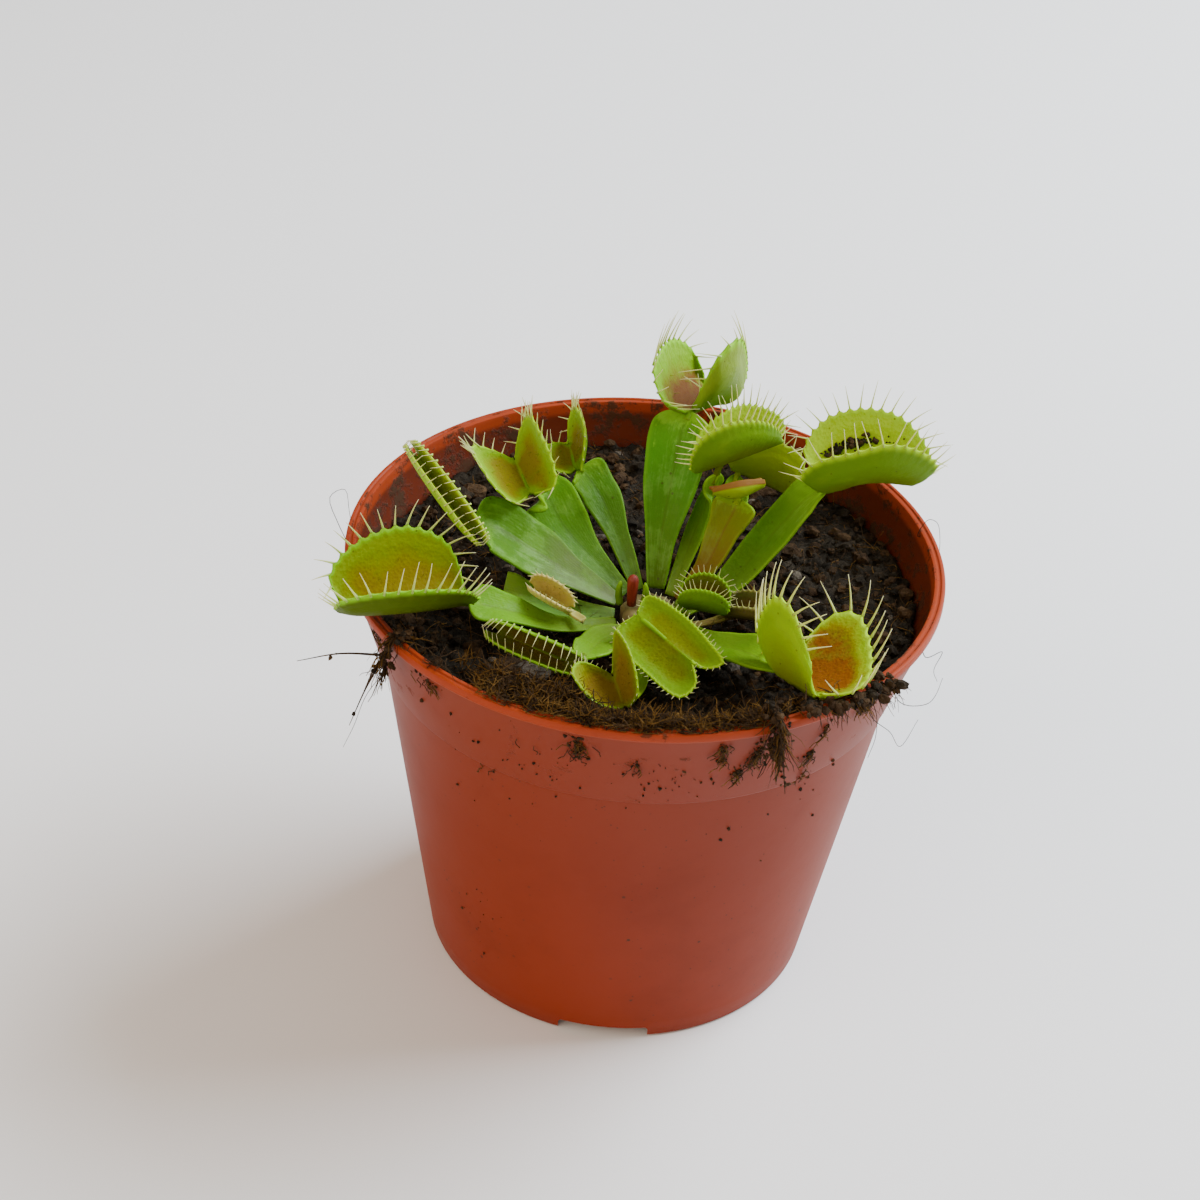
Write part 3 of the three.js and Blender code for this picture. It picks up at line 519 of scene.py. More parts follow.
leaves = {
    "leaf_back_tall": {"tone": "tall", "line": [(1.8, -4.2, 67), (2, -0.5, 73), (3, 4, 81), (4, 8.5, 87),
        (5, 10.8, 89)], "widths": (2.5, 4.4, 8.2, 9.4, 7.5), "hinge": [(5, 11.2, 89), (9.8, 21.7, 85)],
        "margins": [[(4.5, 10.2, 89.4), (1.3, 7.4, 93.5), (0.1, 10, 96.2), (1, 15.9, 96.8), (3, 21.2, 95.6),
        (5.5, 23.9, 92.5), (6.9, 22.6, 89.8)], [(6.2, 13.3, 88.9), (6.2, 10.6, 94.1), (7.5, 9.8, 99.8),
        (9.8, 13, 101), (11.9, 19.7, 95.4), (12.6, 26.3, 85.2), (10.2, 22.7, 84.2)]], "lean": 0.5,
        "bristles": (17, 5, 0.13)},
    "leaf_back_right": {"tone": "lime", "line": [(4.1, -5.1, 66.6), (6.8, 2.5, 72), (8.8, 4.6, 78.4),
        (9.6, 3.6, 83.2)], "widths": (1.6, 3, 3.6, 3), "hinge": [(6.5, 2, 84.5), (12.5, 4.4, 85.8),
        (18.6, 8.7, 86.5)], "margins": [[(5.5, 1.1, 85.2), (5.3, -0.5, 89.1), (6.5, -1.1, 92.6), (10.3, 0.5, 94.3),
        (15.1, 4.2, 92.5), (18, 7.4, 89), (18.9, 9, 86.4)], [(6, 1.8, 86.5), (6.6, 3.3, 89.3), (10.1, 6, 91.9),
        (13.4, 8.5, 92.1), (17.2, 9.7, 90.7), (19.3, 9.9, 88.5), (18.9, 8.8, 86.4)]], "lean": 0.15, "join": 0.3,
        "bristles": (21, 3.3, 0.13)},
    "leaf_right_low": {"tone": "yellowOlive", "line": [(5.4, -6.3, 65.4), (10.3, 6.3, 66.8), (12.9, 10, 73.5),
        (13.1, 15, 76)], "widths": (1.6, 3, 4, 3.4), "hinge": [(12.5, 15.6, 77), (20.8, 15.7, 73.5)],
        "margins": [[(11.7, 15.6, 78.2), (12.9, 15.6, 79.8), (15.9, 15.5, 81), (19.3, 15.4, 82.2),
        (22.7, 15.5, 80.3), (23.3, 15.5, 77.6), (21.4, 15.7, 73.6)], [(12.3, 16.1, 77.8), (13.1, 17.1, 79),
        (15.2, 18.2, 79.8), (17.7, 19, 79.9), (20.1, 19, 79), (21.4, 18.1, 77), (21.3, 16.1, 74)]],
        "bristles": (12, 2.2, 0.13)},
    "leaf_young_closed": {"tone": "ruddy", "line": [(5.3, -7, 67), (9, -4.6, 72), (11.2, -1.7, 76.5),
        (12.6, 0.2, 79.3), (12.9, 0.7, 80.6)], "widths": (2.4, 3.9, 5.2, 7.1, 7), "hinge": [(16.2, 3.1, 82),
        (12.7, 0.1, 81.8), (9.1, 0.2, 82)], "margins": [[(16.4, 2.4, 83.2), (14.8, 1.5, 83.4), (12.7, 0.7, 83.4),
        (10.5, 0, 83.1), (8.6, -0.6, 82.8)], [(16.4, 2.4, 83.5), (14.6, 1.4, 84), (12.5, 0.5, 84.1),
        (10.3, -0.2, 83.7), (8.6, -0.6, 83.2)]], "cup": 0.3, "join": 0.5},
    "leaf_right_long": {"tone": "lime", "line": [(6.2, -8.5, 66), (12.5, -3.9, 68.4), (17.5, 0.8, 73),
        (23, 3.5, 79.5), (26, 4, 82)], "widths": (1.7, 4.6, 6.5, 8.3, 6.6), "hinge": [(26.2, 3.1, 82),
        (32.1, 4.7, 83.2), (38.4, 5.4, 83)], "margins": [[(24.9, 2.4, 82.9), (21.6, -0.1, 86.6), (23.4, -1.5, 90.3),
        (28.5, -1, 91.9), (33.5, -0.7, 93.6), (38.9, 1.7, 91.1), (41.5, 4.2, 87), (39, 5.5, 82.9)],
        [(25.2, 3.7, 83.5), (22.5, 5.1, 86.9), (25.1, 7.6, 90.9), (30.7, 9.2, 92.4), (36.1, 9.5, 91.4),
        (39.5, 8.6, 88.8), (41.1, 7.4, 86), (39, 5.8, 83.7)]], "lean": 0.2, "bristles": (20, 4.4, 0.13)},
    "leaf_right_front": {"tone": "front", "line": [(5, -12, 65.8), (10.5, -17.5, 67.3), (15.5, -21.5, 68.8),
        (20.2, -25, 68.8)], "widths": (1.8, 6, 7.5, 4), "hinge": [(20.3, -25.8, 68.8), (24.8, -32.8, 70.5)],
        "margins": [[(20, -25.2, 68.3), (17.8, -22.3, 70.1), (16.9, -21.2, 72.7), (17.4, -22.3, 77.4),
        (18.8, -24.7, 81.3), (20.8, -27.6, 81.3), (22.3, -29.5, 78.5), (23.7, -31, 74.6)], [(22.7, -23.2, 70.3),
        (24.6, -18.5, 72), (27.8, -16.3, 73.8), (30.4, -17.5, 74.6), (32, -24, 74), (31.5, -31, 73.3),
        (28.5, -35.4, 73.8), (25.2, -34, 72)]], "lean": 0.3, "join": 0.25, "cup": 0.08, "rise": 1.1,
        "bristles": (15, 5.6, 0.19)},
    "leaf_front_open": {"tone": "open", "line": [(1, -14.4, 66.6), (-0.1, -15.4, 68.4), (-0.6, -16.4, 70.1)],
        "widths": (2, 2, 1.8), "hinge": [(-0.8, -16.4, 70.7), (7, -25.9, 70.1)], "margins": [[(-1, -16.6, 70.6),
        (-3.6, -18.7, 69.8), (-2.7, -22.5, 69.2), (0.7, -27.2, 68.9), (5.8, -32, 68.7), (7.7, -30.3, 69.4),
        (7.2, -26.3, 70)], [(-0.7, -16.1, 70.9), (0.3, -13.9, 72.4), (5.3, -18.3, 72.8), (9.4, -23.9, 72.2),
        (11.3, -27.5, 71.5), (9.2, -27.5, 70.4), (7.3, -26, 70.2)]], "bristles": (30, 0.9, 0.12)},
    "leaf_front_small": {"tone": "smallOlive", "line": [(0, -14, 65), (0.6, -20, 65.4), (0.2, -27, 65.8),
        (-1.3, -32.2, 66.8)], "widths": (1.5, 1.6, 1.8, 1.5), "hinge": [(-1.8, -33.5, 66.9), (-3.7, -29.4, 68.8)],
        "margins": [[(-1.9, -33.8, 67), (-4.2, -35.9, 68.8), (-6.5, -37.3, 71.6), (-8.8, -35.1, 73.7),
        (-8.2, -32.3, 73.4), (-5.7, -30.6, 71.3), (-3.9, -29.2, 69)], [(-1.5, -34, 67.1), (-0.7, -34.9, 70.4),
        (-1.5, -32.9, 73.3), (-3, -29.9, 75), (-4.5, -27.1, 74.8), (-4.3, -27.9, 71.9), (-3.8, -29.3, 69.2)]],
        "bristles": (18, 0.6, 0.1)},
    "leaf_front_left": {"tone": "darkOlive", "line": [(-1.6, -13.5, 65.8), (-4.9, -17.3, 66.7), (-7, -22.9, 68.6),
        (-8.6, -26.1, 69.2)], "widths": (1.5, 6, 5.5, 3), "hinge": [(-9.4, -27.8, 69.5), (-14.7, -26.6, 70.6),
        (-20.2, -23.9, 71)], "edges": [(-15.3, -30.4, 71.8), (-14.8, -29, 74)], "lean": 1.2,
        "bristles": (17, 2.2, 0.1)},
    "leaf_left_long": {"tone": "yellow", "line": [(-3.7, -12, 65.6), (-12, -15.1, 67), (-18.5, -16.7, 69.7),
        (-23, -17.5, 71.1), (-25.2, -17.7, 71.7)], "widths": (1.6, 3, 5, 6.4, 6), "roll": -15,
        "hinge": [(-25.1, -17.9, 72.3), (-33.3, -22.4, 73.3), (-42.2, -24.1, 73.5)],
        "margins": [[(-23.9, -18.4, 73.1), (-25.2, -23.6, 78.2), (-28.7, -27.1, 80.8), (-33.6, -29.6, 81.9),
        (-38.5, -30.6, 81.5), (-42.1, -29.7, 79.4), (-43.4, -25.4, 74.5)], [(-26.1, -17.9, 73.2),
        (-26.9, -16.3, 76.8), (-29, -15.4, 80.2), (-34.1, -16.2, 82.6), (-39.8, -18.7, 81.9), (-43.5, -21.5, 79.4),
        (-44.3, -23, 77.2), (-42.8, -23.7, 74.7)]], "lean": 0.35, "bristles": (17, 4.4, 0.17)},
    "leaf_left_broad": {"tone": "bluish", "line": [(-3.9, -7.7, 66.9), (-11, -7.3, 70.8), (-17, -6.5, 74),
        (-22.5, -6.2, 77.2), (-25.2, -7, 78.2)], "widths": (2, 5, 8.8, 9.1, 7.2), "roll": -27,
        "hinge": [(-25.3, -9.9, 78.5), (-30.4, -5.6, 81.5), (-34.6, 0, 84.5)], "edges": [(-30.3, -9.9, 85),
        (-28.8, -9.5, 85.6)], "lean": 2, "cup": 0.1, "bristles": (20, 1.3, 0.13)},
    "leaf_left_cut": {"tone": "mottled", "line": [(-4.1, -10.1, 66.1), (-10.5, -9.7, 65.5), (-16, -10.7, 67.5),
        (-20.5, -11, 68.9)], "widths": (1.6, 4.5, 6.6, 7), "roll": -15},
    "leaf_back_left": {"tone": "deep", "line": [(-2.4, -5.5, 66.8), (-7.4, -3, 70.3), (-12.4, -0.8, 74.6),
        (-15.4, 2.1, 77.9), (-16.8, 1.7, 79.1)], "widths": (1.8, 4, 7.8, 8.2, 7), "roll": -21,
        "hinge": [(-17.8, 0.4, 79.4), (-20.6, 6.6, 80.9)], "margins": [[(-18.1, -1, 79.8), (-19.5, -5, 81.5),
        (-22, -4.9, 83.7), (-24.5, -2, 85.4), (-26.2, 1.9, 86.3), (-23.7, 4.9, 83.8), (-20.7, 6.7, 81)],
        [(-17.4, -0.2, 79.7), (-14.7, -2.4, 82.9), (-15.1, -0.3, 84.7), (-17.1, 4.6, 86.3), (-19.8, 10.1, 86.7),
        (-20.7, 9.2, 83.7), (-20.7, 7, 81)]], "tipTuft": 3.4, "bristles": (12, 2.6, 0.14)},
    "leaf_back_mid": {"tone": "deep", "line": [(-0.8, -4.2, 66.6), (-4.4, 3.2, 71.2), (-7.4, 6.9, 75.6),
        (-9.8, 8.3, 78.2), (-10.7, 8.7, 79)], "widths": (1.8, 3.4, 6.6, 7.4, 6.6), "roll": -10,
        "hinge": [(-11.4, 8.7, 78.9), (-12.8, 13.1, 80.5)], "margins": [[(-12, 7.7, 78.9), (-14, 6.6, 80),
        (-16.1, 7.1, 80.5), (-16.3, 10.3, 81.4), (-14.7, 12.3, 81.2), (-12.9, 13, 80.5)], [(-10.9, 7.6, 79.3),
        (-10.8, 8.6, 81.9), (-11, 10.5, 84.5), (-12, 13.6, 85.6), (-13, 15.9, 85), (-13.5, 16.1, 82.7),
        (-13.1, 13.9, 80.3)]], "tipTuft": 3.2, "bristles": (10, 2.3, 0.13)},
    "leaf_young_low": {"tone": "darkOlive", "line": [(3.8, -13, 67.2), (5, -12.4, 69), (6.2, -12, 69.8)],
        "widths": (1.5, 1.5, 1.4), "hinge": [(6, -11.8, 69.8), (11.6, -12.4, 69.4)], "edges": [(8.8, -13.4, 74),
        (9.2, -10.6, 74.4)], "bristles": (15, 1.6, 0.09)},
    "withered_trap": {"tone": "dry", "line": [(6.2, -10.6, 65.2), (9.5, -9.8, 65.4), (12.5, -8.9, 66.2)],
        "widths": (1.2, 1.1, 1.2), "hinge": [(12.8, -8.6, 66.4), (17.8, -9.5, 66.8)], "edges": [(15.1, -10.9, 69.8),
        (15.7, -8.3, 70.4)], "bristles": (12, 1.4, 0.1)},
    "bleached_trap": {"tone": "straw", "line": [(-8.6, -15.2, 68.2), (-10, -13.8, 68.1), (-11.2, -13.8, 69.1)],
        "widths": (1.2, 1.2, 1.2), "hinge": [(-11, -13.8, 69.2), (-16, -12.2, 71)], "edges": [(-13.6, -15.6, 72),
        (-13.2, -13.6, 73.2)], "bristles": (12, 1, 0.14)},
}

leafForm = {
    "firstSeed": 100, "bladeColumns": 60, "bladeRows": 18, "bladeCrowding": 1.4, "bladeThickness": 0.85,
    "bladeThin": 0.42, "wingFold": 0.22, "edgeWave": 0.3, "tipStart": 0.8, "tipWidth": 0.2,
    "lobeColumns": 60, "lobeRows": 44, "lobeThickness": 0.62, "lobeThin": 0.45, "lobeSpread": 1.3, "lobeCup": 0.16,
    "endDepth": 0.14, "toothDepth": 0.5, "neckRadius": 0.6, "neckJoin": 0.15,
    "bristleLean": 0.12, "bristleSink": 0.5, "bristleCurl": 0.12, "bristleSteps": 7, "headroom": 0.4,
    "tuftStrands": 9, "tuftRadii": (0.12, 0.11, 0.09, 0.07, 0.03),
    "triggerHairs": ((0.36, 0.42), (0.64, 0.42), (0.5, 0.62)), "triggerRadii": (0.045, 0.04, 0.03, 0.01),
}


def jitter(draw, *spreads):  # a random shift in mm, level when only two spreads are given
    return Vector((*[draw.gauss(0, spread) for spread in spreads], 0)[:3])


def bladeSheet(leaf, seed):
    line = [place(point) for point in leaf["line"]]
    widths = [Vector((width, 0, 0)) * mm for width in leaf["widths"]]
    draw = random.Random(seed)
    phases = [draw.uniform(0, 6.28) for _ in range(4)]
    up = Vector((0, 0, 1))
    turn = math.radians(leaf.get("roll", 0))
    tipStart = leafForm["tipStart"] if "hinge" in leaf else 1.0

    def pointAt(share, v):
        u = 1 - (1 - share) ** leafForm["bladeCrowding"]
        t = 2 * v - 1
        along = (splinePoint(line, min(1, u + 0.01)) - splinePoint(line, max(0, u - 0.01))).normalized()
        across = Matrix.Rotation(turn, 3, along) @ up.cross(along).normalized()
        above = along.cross(across).normalized()
        past = max(0.0, u - tipStart) / max(1e-6, 1 - tipStart)
        half = splinePoint(widths, u).x / 2 * max(leafForm["tipWidth"], math.sqrt(max(0.0, 1 - past * past)))
        fold = leafForm["wingFold"] * half * (math.sqrt(t * t + 0.015) - 0.12)
        side = 0 if t < 0 else 1
        wave = leafForm["edgeWave"] * mm * (half / (4 * mm)) * abs(t) ** 3 * (
            math.sin(9.5 * u + phases[side]) + 0.4 * math.sin(23 * u + phases[side + 2]))
        return splinePoint(line, u) + across * (t * half) + above * (fold + wave)

    def weightOf(u, v):  # thick along the midrib, thin at the edges
        t = 2 * v - 1
        return max(0.0, 0.3 * (1 - abs(t) ** 3) + 0.7 * math.exp(-(t / 0.16) ** 2))

    bm = bmesh.new()
    bentGrid(bm, leafForm["bladeColumns"], leafForm["bladeRows"], pointAt)
    return thickened(bm, leafForm["bladeThickness"], leafForm["bladeThin"], weightOf)


def freeEdges(leaf):  # the free edges of both lobes as functions of u
    if "margins" in leaf:
        return [evenSpline([place(point) for point in margin]) for margin in leaf["margins"]]
    start, end = place(leaf["hinge"][0]), place(leaf["hinge"][-1])
    middle = (start + end) / 2
    along = end - start

    def edgeOf(top):
        def at(u):
            depth = leafForm["endDepth"] + (1 - leafForm["endDepth"]) * max(0.0, math.sin(math.pi * u)) ** 0.7
            sideways = along * (math.cos(math.pi * u) * leafForm["lobeSpread"] / 2)
            return middle - sideways + (place(top) - middle) * depth
        return at

    return [edgeOf(top) for top in leaf["edges"]]


def bristlesOf(leaf):
    return leaf.get("bristles", (0, 0, 0))


def trapSurface(leaf):  # u runs along the hinge, v from one lobe's free edge (-1) to the other's (1)
    hinge = [place(point) for point in leaf["hinge"]]
    middle = splinePoint(hinge, 0.5)
    along = hinge[-1] - hinge[0]
    free = freeEdges(leaf)
    reach = [edge(0.5) - middle for edge in free]
    if along.cross(reach[1] - reach[0]).dot(reach[0] + reach[1]) < 0:
        reach.reverse()
        free.reverse()
    outward = []
    for side in (0, 1):
        normal = reach[side].cross(along).normalized()
        outward.append(-normal if normal.dot(reach[1 - side]) > 0 else normal)
    count, bristleLength, _ = bristlesOf(leaf)
    bend = leaf.get("cup", leafForm["lobeCup"])

    def surface(u, v):
        side = 0 if v < 0 else 1
        t = abs(v)
        fold = splinePoint(hinge, u)
        edge = free[side](u)
        size = (edge - fold).length
        cup = bend * size * math.sin(math.pi * min(1, t * 0.85))
        crease = -0.012 * size * math.exp(-((t - 0.8) / 0.06) ** 2)
        point = fold.lerp(edge, t) + outward[side] * (cup + crease)
        if count:
            tooth = abs(math.cos(math.pi * ((count + 1) * u))) ** 5
            depth = min(leafForm["toothDepth"], 0.12 + 0.1 * bristleLength) * mm
            point += (edge - fold) / max(size, 1e-6) * (depth * tooth * t ** 9)
        return point

    return surface


def trapSheet(leaf, surface):
    bm = bmesh.new()
    columns = max(leafForm["lobeColumns"], 6 * (bristlesOf(leaf)[0] + 1))
    bentGrid(bm, columns, leafForm["lobeRows"], lambda u, v: surface(u, 2 * v - 1), 1)
    return thickened(bm, leafForm["lobeThickness"], leafForm["lobeThin"],
                     lambda u, v: max(0.0, 1 - abs(2 * v - 1) ** 4), 1)


def addBristles(bm, leaf, surface, seed):
    draw = random.Random(seed)
    count, fullLength, radius = bristlesOf(leaf)
    leaning = leaf.get("lean", leafForm["bristleLean"])
    sink = leafForm["bristleSink"] * mm
    shares = [i / (leafForm["bristleSteps"] - 1) for i in range(leafForm["bristleSteps"])]
    radii = [radius * mm * (1.3 - 1.1 * share ** 0.7) for share in shares]

    def addPair(part, k):
        u = (k + 1) / (count + 1)
        bulge = math.sin(math.pi * u)
        for edge in (-1, 1):
            root = surface(u, edge)
            inward = surface(u, edge * 0.8) - root
            along = (surface(min(1, u + 0.04), edge) - surface(max(0, u - 0.04), edge)).normalized()
            skin = along.cross(inward).normalized() * edge
            away = -(inward - along * inward.dot(along)).normalized()
            across = (surface(u, -edge) - root).normalized()
            wander = along * draw.gauss(0, 0.07) + skin * draw.gauss(0, 0.06)
            rise = Vector((0, 0, leaf.get("rise", 0) * bulge))
            direction = (away + across * leaning + wander + rise).normalized()
            length = fullLength * mm * (0.6 + 0.4 * bulge) * draw.uniform(0.8, 1.08)
            room = cadBox[1][2] - leafForm["headroom"] * mm - root.z
            if direction.z * length > room:
                length = max(0.5 * mm, room / direction.z)
            start = root + skin * (0.15 * mm) - direction * sink
            curl = across * (leafForm["bristleCurl"] * length) + along * (draw.gauss(0, 0.05) * length)
            points = [start + direction * ((length + sink) * s) + curl * s * s for s in shares]
            addTube(part, points, radii, 6, 3)

    inBatches(bm, count, addPair, 6)


def addTipTuft(bm, length, surface, seed):  # dried bristles that stick together at the tip of each lobe
    draw = random.Random(seed)
    heel = surface(0.5, 0)
    radii = [radius * mm for radius in leafForm["tuftRadii"]]
    for edge in (-1, 1):
        tip = max((k / 40 for k in range(41)), key=lambda u: (surface(u, edge) - heel).length)
        away = (surface(tip, edge) - heel).normalized()
        for _ in range(leafForm["tuftStrands"]):
            root = surface(min(1, max(0, tip + draw.gauss(0, 0.035))), edge * 0.97)
            heading = (away + jitter(draw, 0.17, 0.17, 0.17)).normalized()
            reach = length * mm * draw.uniform(0.6, 1.0)
            lift = Vector((0, 0, reach * 0.1))
            points = [root + heading * (reach * k / 4) + lift * (k / 4) ** 2 for k in range(5)]
            addTube(bm, points, radii, 5, 3)


def addTriggerHairs(bm, surface):
    radii = [radius * mm for radius in leafForm["triggerRadii"]]
    for edge in (-1, 1):
        for u, t in leafForm["triggerHairs"]:
            foot = surface(u, edge * t)
            normal = (surface(u, -edge * t) - foot).normalized()
            addTube(bm, [foot + normal * (0.3 * mm * k) for k in range(4)], radii, 5, 1)


def addNeck(bm, leaf):  # the short stalk between blade and trap
    before, tip = [place(point) for point in leaf["line"][-2:]]
    drop = Vector((0, 0, -leafForm["neckRadius"] / 2)) * mm
    hinge = [place(point) for point in leaf["hinge"]]
    join = leaf.get("join", leafForm["neckJoin"])
    path = [mix(tip, before, 0.35) + drop, mix(tip, before, 0.1) + drop, splinePoint(hinge, join) + drop,
            splinePoint(hinge, join + 0.2) + drop * 0.6, splinePoint(hinge, join + 0.4) + drop * 0.4]
    radii = [leafForm["neckRadius"] * mm * (1.05 - 0.6 * k / 14) for k in range(15)]
    addTube(bm, smoothPath(path, 14), radii, 10, 2)


def addLeaf(name, leaf, seed):
    bm = bmesh.new()
    bm.from_mesh(bladeSheet(leaf, seed))
    if "hinge" in leaf:
        surface = trapSurface(leaf)
        bm.from_mesh(trapSheet(leaf, surface))
        addBristles(bm, leaf, surface, seed)
        if "bristles" in leaf:
            addTriggerHairs(bm, surface)
        if "tipTuft" in leaf:
            addTipTuft(bm, leaf["tipTuft"], surface, seed)
        addNeck(bm, leaf)
    makePiece(name + "_fine", bm, leafMaterials[leaf["tone"]], [name])


for number, (leafName, leafShape) in enumerate(leaves.items()):
    addLeaf(leafName, leafShape, leafForm["firstSeed"] + number)
print("leaves made")


# pot: a moulded nursery pot with a flared collar, a grooved lip and a notched foot ring

pot = {  # in mm, degrees and counts
    "footRadius": 30.7, "creaseRadius": 39.2, "collarHeight": 16.3, "wall": 1.2, "floorHeight": 2.2,
    "lipHeight": 1.3, "lipWidth": 1.8, "notchHeight": 2.0, "notchWidth": 14, "notchAngles": (-92, 28, 148),
    "notchRounding": 0.6, "drainRadius": 3.0, "drainRing": 19.0, "drainCount": 6, "steps": 192, "sharpAngle": 42,
    # the colour low down is redder: painted warm light bounced up from the floor
    "low": (0.21, 0.023, 0.004), "body": (0.175, 0.022, 0.006), "collar": (0.175, 0.025, 0.008),
    # the inside colour is painted shade: the inner wall darker than the outside
    # the lip colour is a painted highlight: the top rim brighter orange where it catches the light
    "inside": (0.1, 0.017, 0.006), "lip": (0.28, 0.036, 0.007), "dirt": (0.045, 0.022, 0.01),
    "speck": (0.03, 0.014, 0.007),
    "lipLevel": (0.0686, 0.0698), "dirtLevel": (0.052, 0.0705),  # heights in metres where these come in
    "cloudSize": 28.0, "dustSize": 210.0, "filmSize": 45.0, "patchSize": 38.0, "scuffSize": 500.0, "dentSize": 60.0,
    # specks of soil: pattern size, share of a cell and strength
    "specks": ((230.0, 0.07, 0.9), (520.0, 0.085, 0.75), (900.0, 0.09, 0.5)),
}
crease = potHeight - pot["collarHeight"]
collarFoot = pot["creaseRadius"] + 0.62


def potFinish():
    skin = Finish("terracotta_plastic", 0.55, 0.12)
    spot = skin.spot()
    height = skin.node("SeparateXYZ", Vector=spot).outputs["Z"]
    flat = skin.vectors("MULTIPLY", spot, (1, 1, 0))["Vector"]
    outward = skin.vectors("NORMALIZE", flat)["Vector"]
    facing = skin.vectors("DOT_PRODUCT", outward, skin.node("NewGeometry").outputs["Normal"])["Value"]
    within = skin.fade(facing, -0.25, 0.1, 1.0, 0.0)
    level = skin.plus(skin.times(height, 13.0), skin.times(skin.clouds(spot, pot["cloudSize"]), 0.25))
    # redder towards the foot: painted warm bounce light from the floor
    skin.ramp(level, (0.1, pot["low"]), (0.6, pot["body"]), (1.0, pot["collar"]))
    # inner wall darker: painted shade inside the pot
    skin.lay(within, pot["inside"])
    # rim brighter orange: painted highlight on the lip
    skin.lay(skin.fade(height, *pot["lipLevel"], 0.0, 0.85), pot["lip"])
    dust = skin.clouds(spot, pot["dustSize"], 7.0, 0.75)
    nearRim = skin.fade(height, *pot["dirtLevel"], 0.0, 0.8)
    dirt = skin.maths("MAXIMUM", skin.times(skin.fade(dust, 0.6, 0.68), nearRim),
                      skin.times(skin.fade(dust, 0.5, 0.6, 0.0, 0.9), within))
    skin.lay(dirt, pot["dirt"])
    film = skin.clouds(spot, pot["filmSize"], 5.0, 0.65)
    skin.lay(skin.fade(film, 0.45, 0.75, 0.0, 0.3), scaled(pot["low"], 0.55))
    here = skin.fade(skin.clouds(spot, pot["patchSize"], 2.0), 0.44, 0.6, 0.15, 1.0)
    for size, share, shade in pot["specks"]:
        speck = skin.fade(skin.cells(spot, size), share * 0.6, share * 1.2, shade, 0.0)
        skin.lay(skin.times(speck, here), pot["speck"])
    skin.relief((skin.clouds(spot, pot["scuffSize"]), 0.08, 0.0002), (dirt, 0.5, 0.0005),
                (skin.clouds(spot, pot["dentSize"], 2.0), 0.1, 0.0008))
    skin.flesh(0.1, (1.0, 0.2, 0.05), 0.002)
    return skin.done(skin.fade(skin.plus(dirt, skin.times(film, 0.4)), 0.1, 0.8, 0.48, 0.8))


def ringPoint(radius, angle, height):
    turn = math.radians(angle)
    return Vector((radius * math.cos(turn), radius * math.sin(turn), height))


def potProfile():
    lip = potHeight - pot["lipHeight"]
    rim, wall, foot, floor, waist = rimRadius, pot["wall"], pot["footRadius"], pot["floorHeight"], pot["creaseRadius"]
    # rings up the body keep the notches' shading low down
    rings = [(mix(foot + 0.02, waist - 0.05, t), mix(0.25, crease - 0.7, t)) for t in (0.06, 0.12, 0.4, 0.7)]
    return [
        (0, floor), (foot - wall - 0.3, floor), (foot - wall, floor - 0.3),
        (foot - wall, 0.15), (foot - wall + 0.15, 0), (foot - 0.2, 0), (foot + 0.02, 0.25), *rings,
        (waist - 0.05, crease - 0.7), (waist + 0.02, crease - 0.42),
        (waist + 0.5, crease - 0.12), (collarFoot, crease + 0.15),
        (mix(collarFoot, rim - 0.8, 0.5), mix(crease, lip, 0.5)),
        (rim - 0.85, lip - 0.75), (rim - 0.7, lip - 0.4), (rim - 0.15, lip - 0.12), (rim, lip + 0.12),
        (rim, potHeight - 0.35), (rim - 0.1, potHeight - 0.1), (rim - 0.35, potHeight), (rim - 0.6, potHeight - 0.02),
        (rim - 0.78, potHeight - 0.22), (rim - 1.0, potHeight - 0.22), (rim - 1.15, potHeight - 0.03),
        (rim - 1.4, potHeight), (rim - 1.65, potHeight - 0.08), (rim - pot["lipWidth"], potHeight - 0.4),
        (rim - 0.8 - wall, lip - 0.9), (waist + 0.4 - wall, crease + 0.3), (waist - wall, crease - 0.3),
        (foot - wall, floor + wall + 1.0), (foot - wall - 1.0, floor + wall), (0, floor + wall),
    ]


def potCutter():  # notches through the foot ring and drain holes through the floor
    bm = bmesh.new()
    for angle in pot["notchAngles"]:
        turn = Matrix.Translation(potAxis) @ Matrix.Rotation(math.radians(angle), 4, "Z")
        outward = turn.to_3x3() @ Vector((1, 0, 0))
        shape = turn @ Matrix.Translation((pot["footRadius"] * mm, 0, 0)) @ Matrix.Diagonal(
            (6 * mm, pot["notchWidth"] * mm, 2 * pot["notchHeight"] * mm, 1))
        made = bmesh.ops.create_cube(bm, size=1, matrix=shape)["verts"]
        upper = {edge for vert in made for edge in vert.link_edges if min(end.co.z for end in edge.verts) > 0}
        through = [edge for edge in upper
                   if abs((edge.verts[1].co - edge.verts[0].co).normalized().dot(outward)) > 0.9]
        bmesh.ops.bevel(bm, geom=through, offset=pot["notchRounding"] * mm, affect="EDGES", segments=4, profile=0.5,
                        material=-1)
    for k in range(pot["drainCount"]):
        centre = place(ringPoint(pot["drainRing"], 360 * k / pot["drainCount"], pot["floorHeight"]))
        bmesh.ops.create_cone(bm, cap_ends=True, segments=32, radius1=pot["drainRadius"] * mm,
                              radius2=pot["drainRadius"] * mm, depth=5 * mm, matrix=Matrix.Translation(centre))
    return newObject("potCutter", toMesh(bm, "potCutter"))


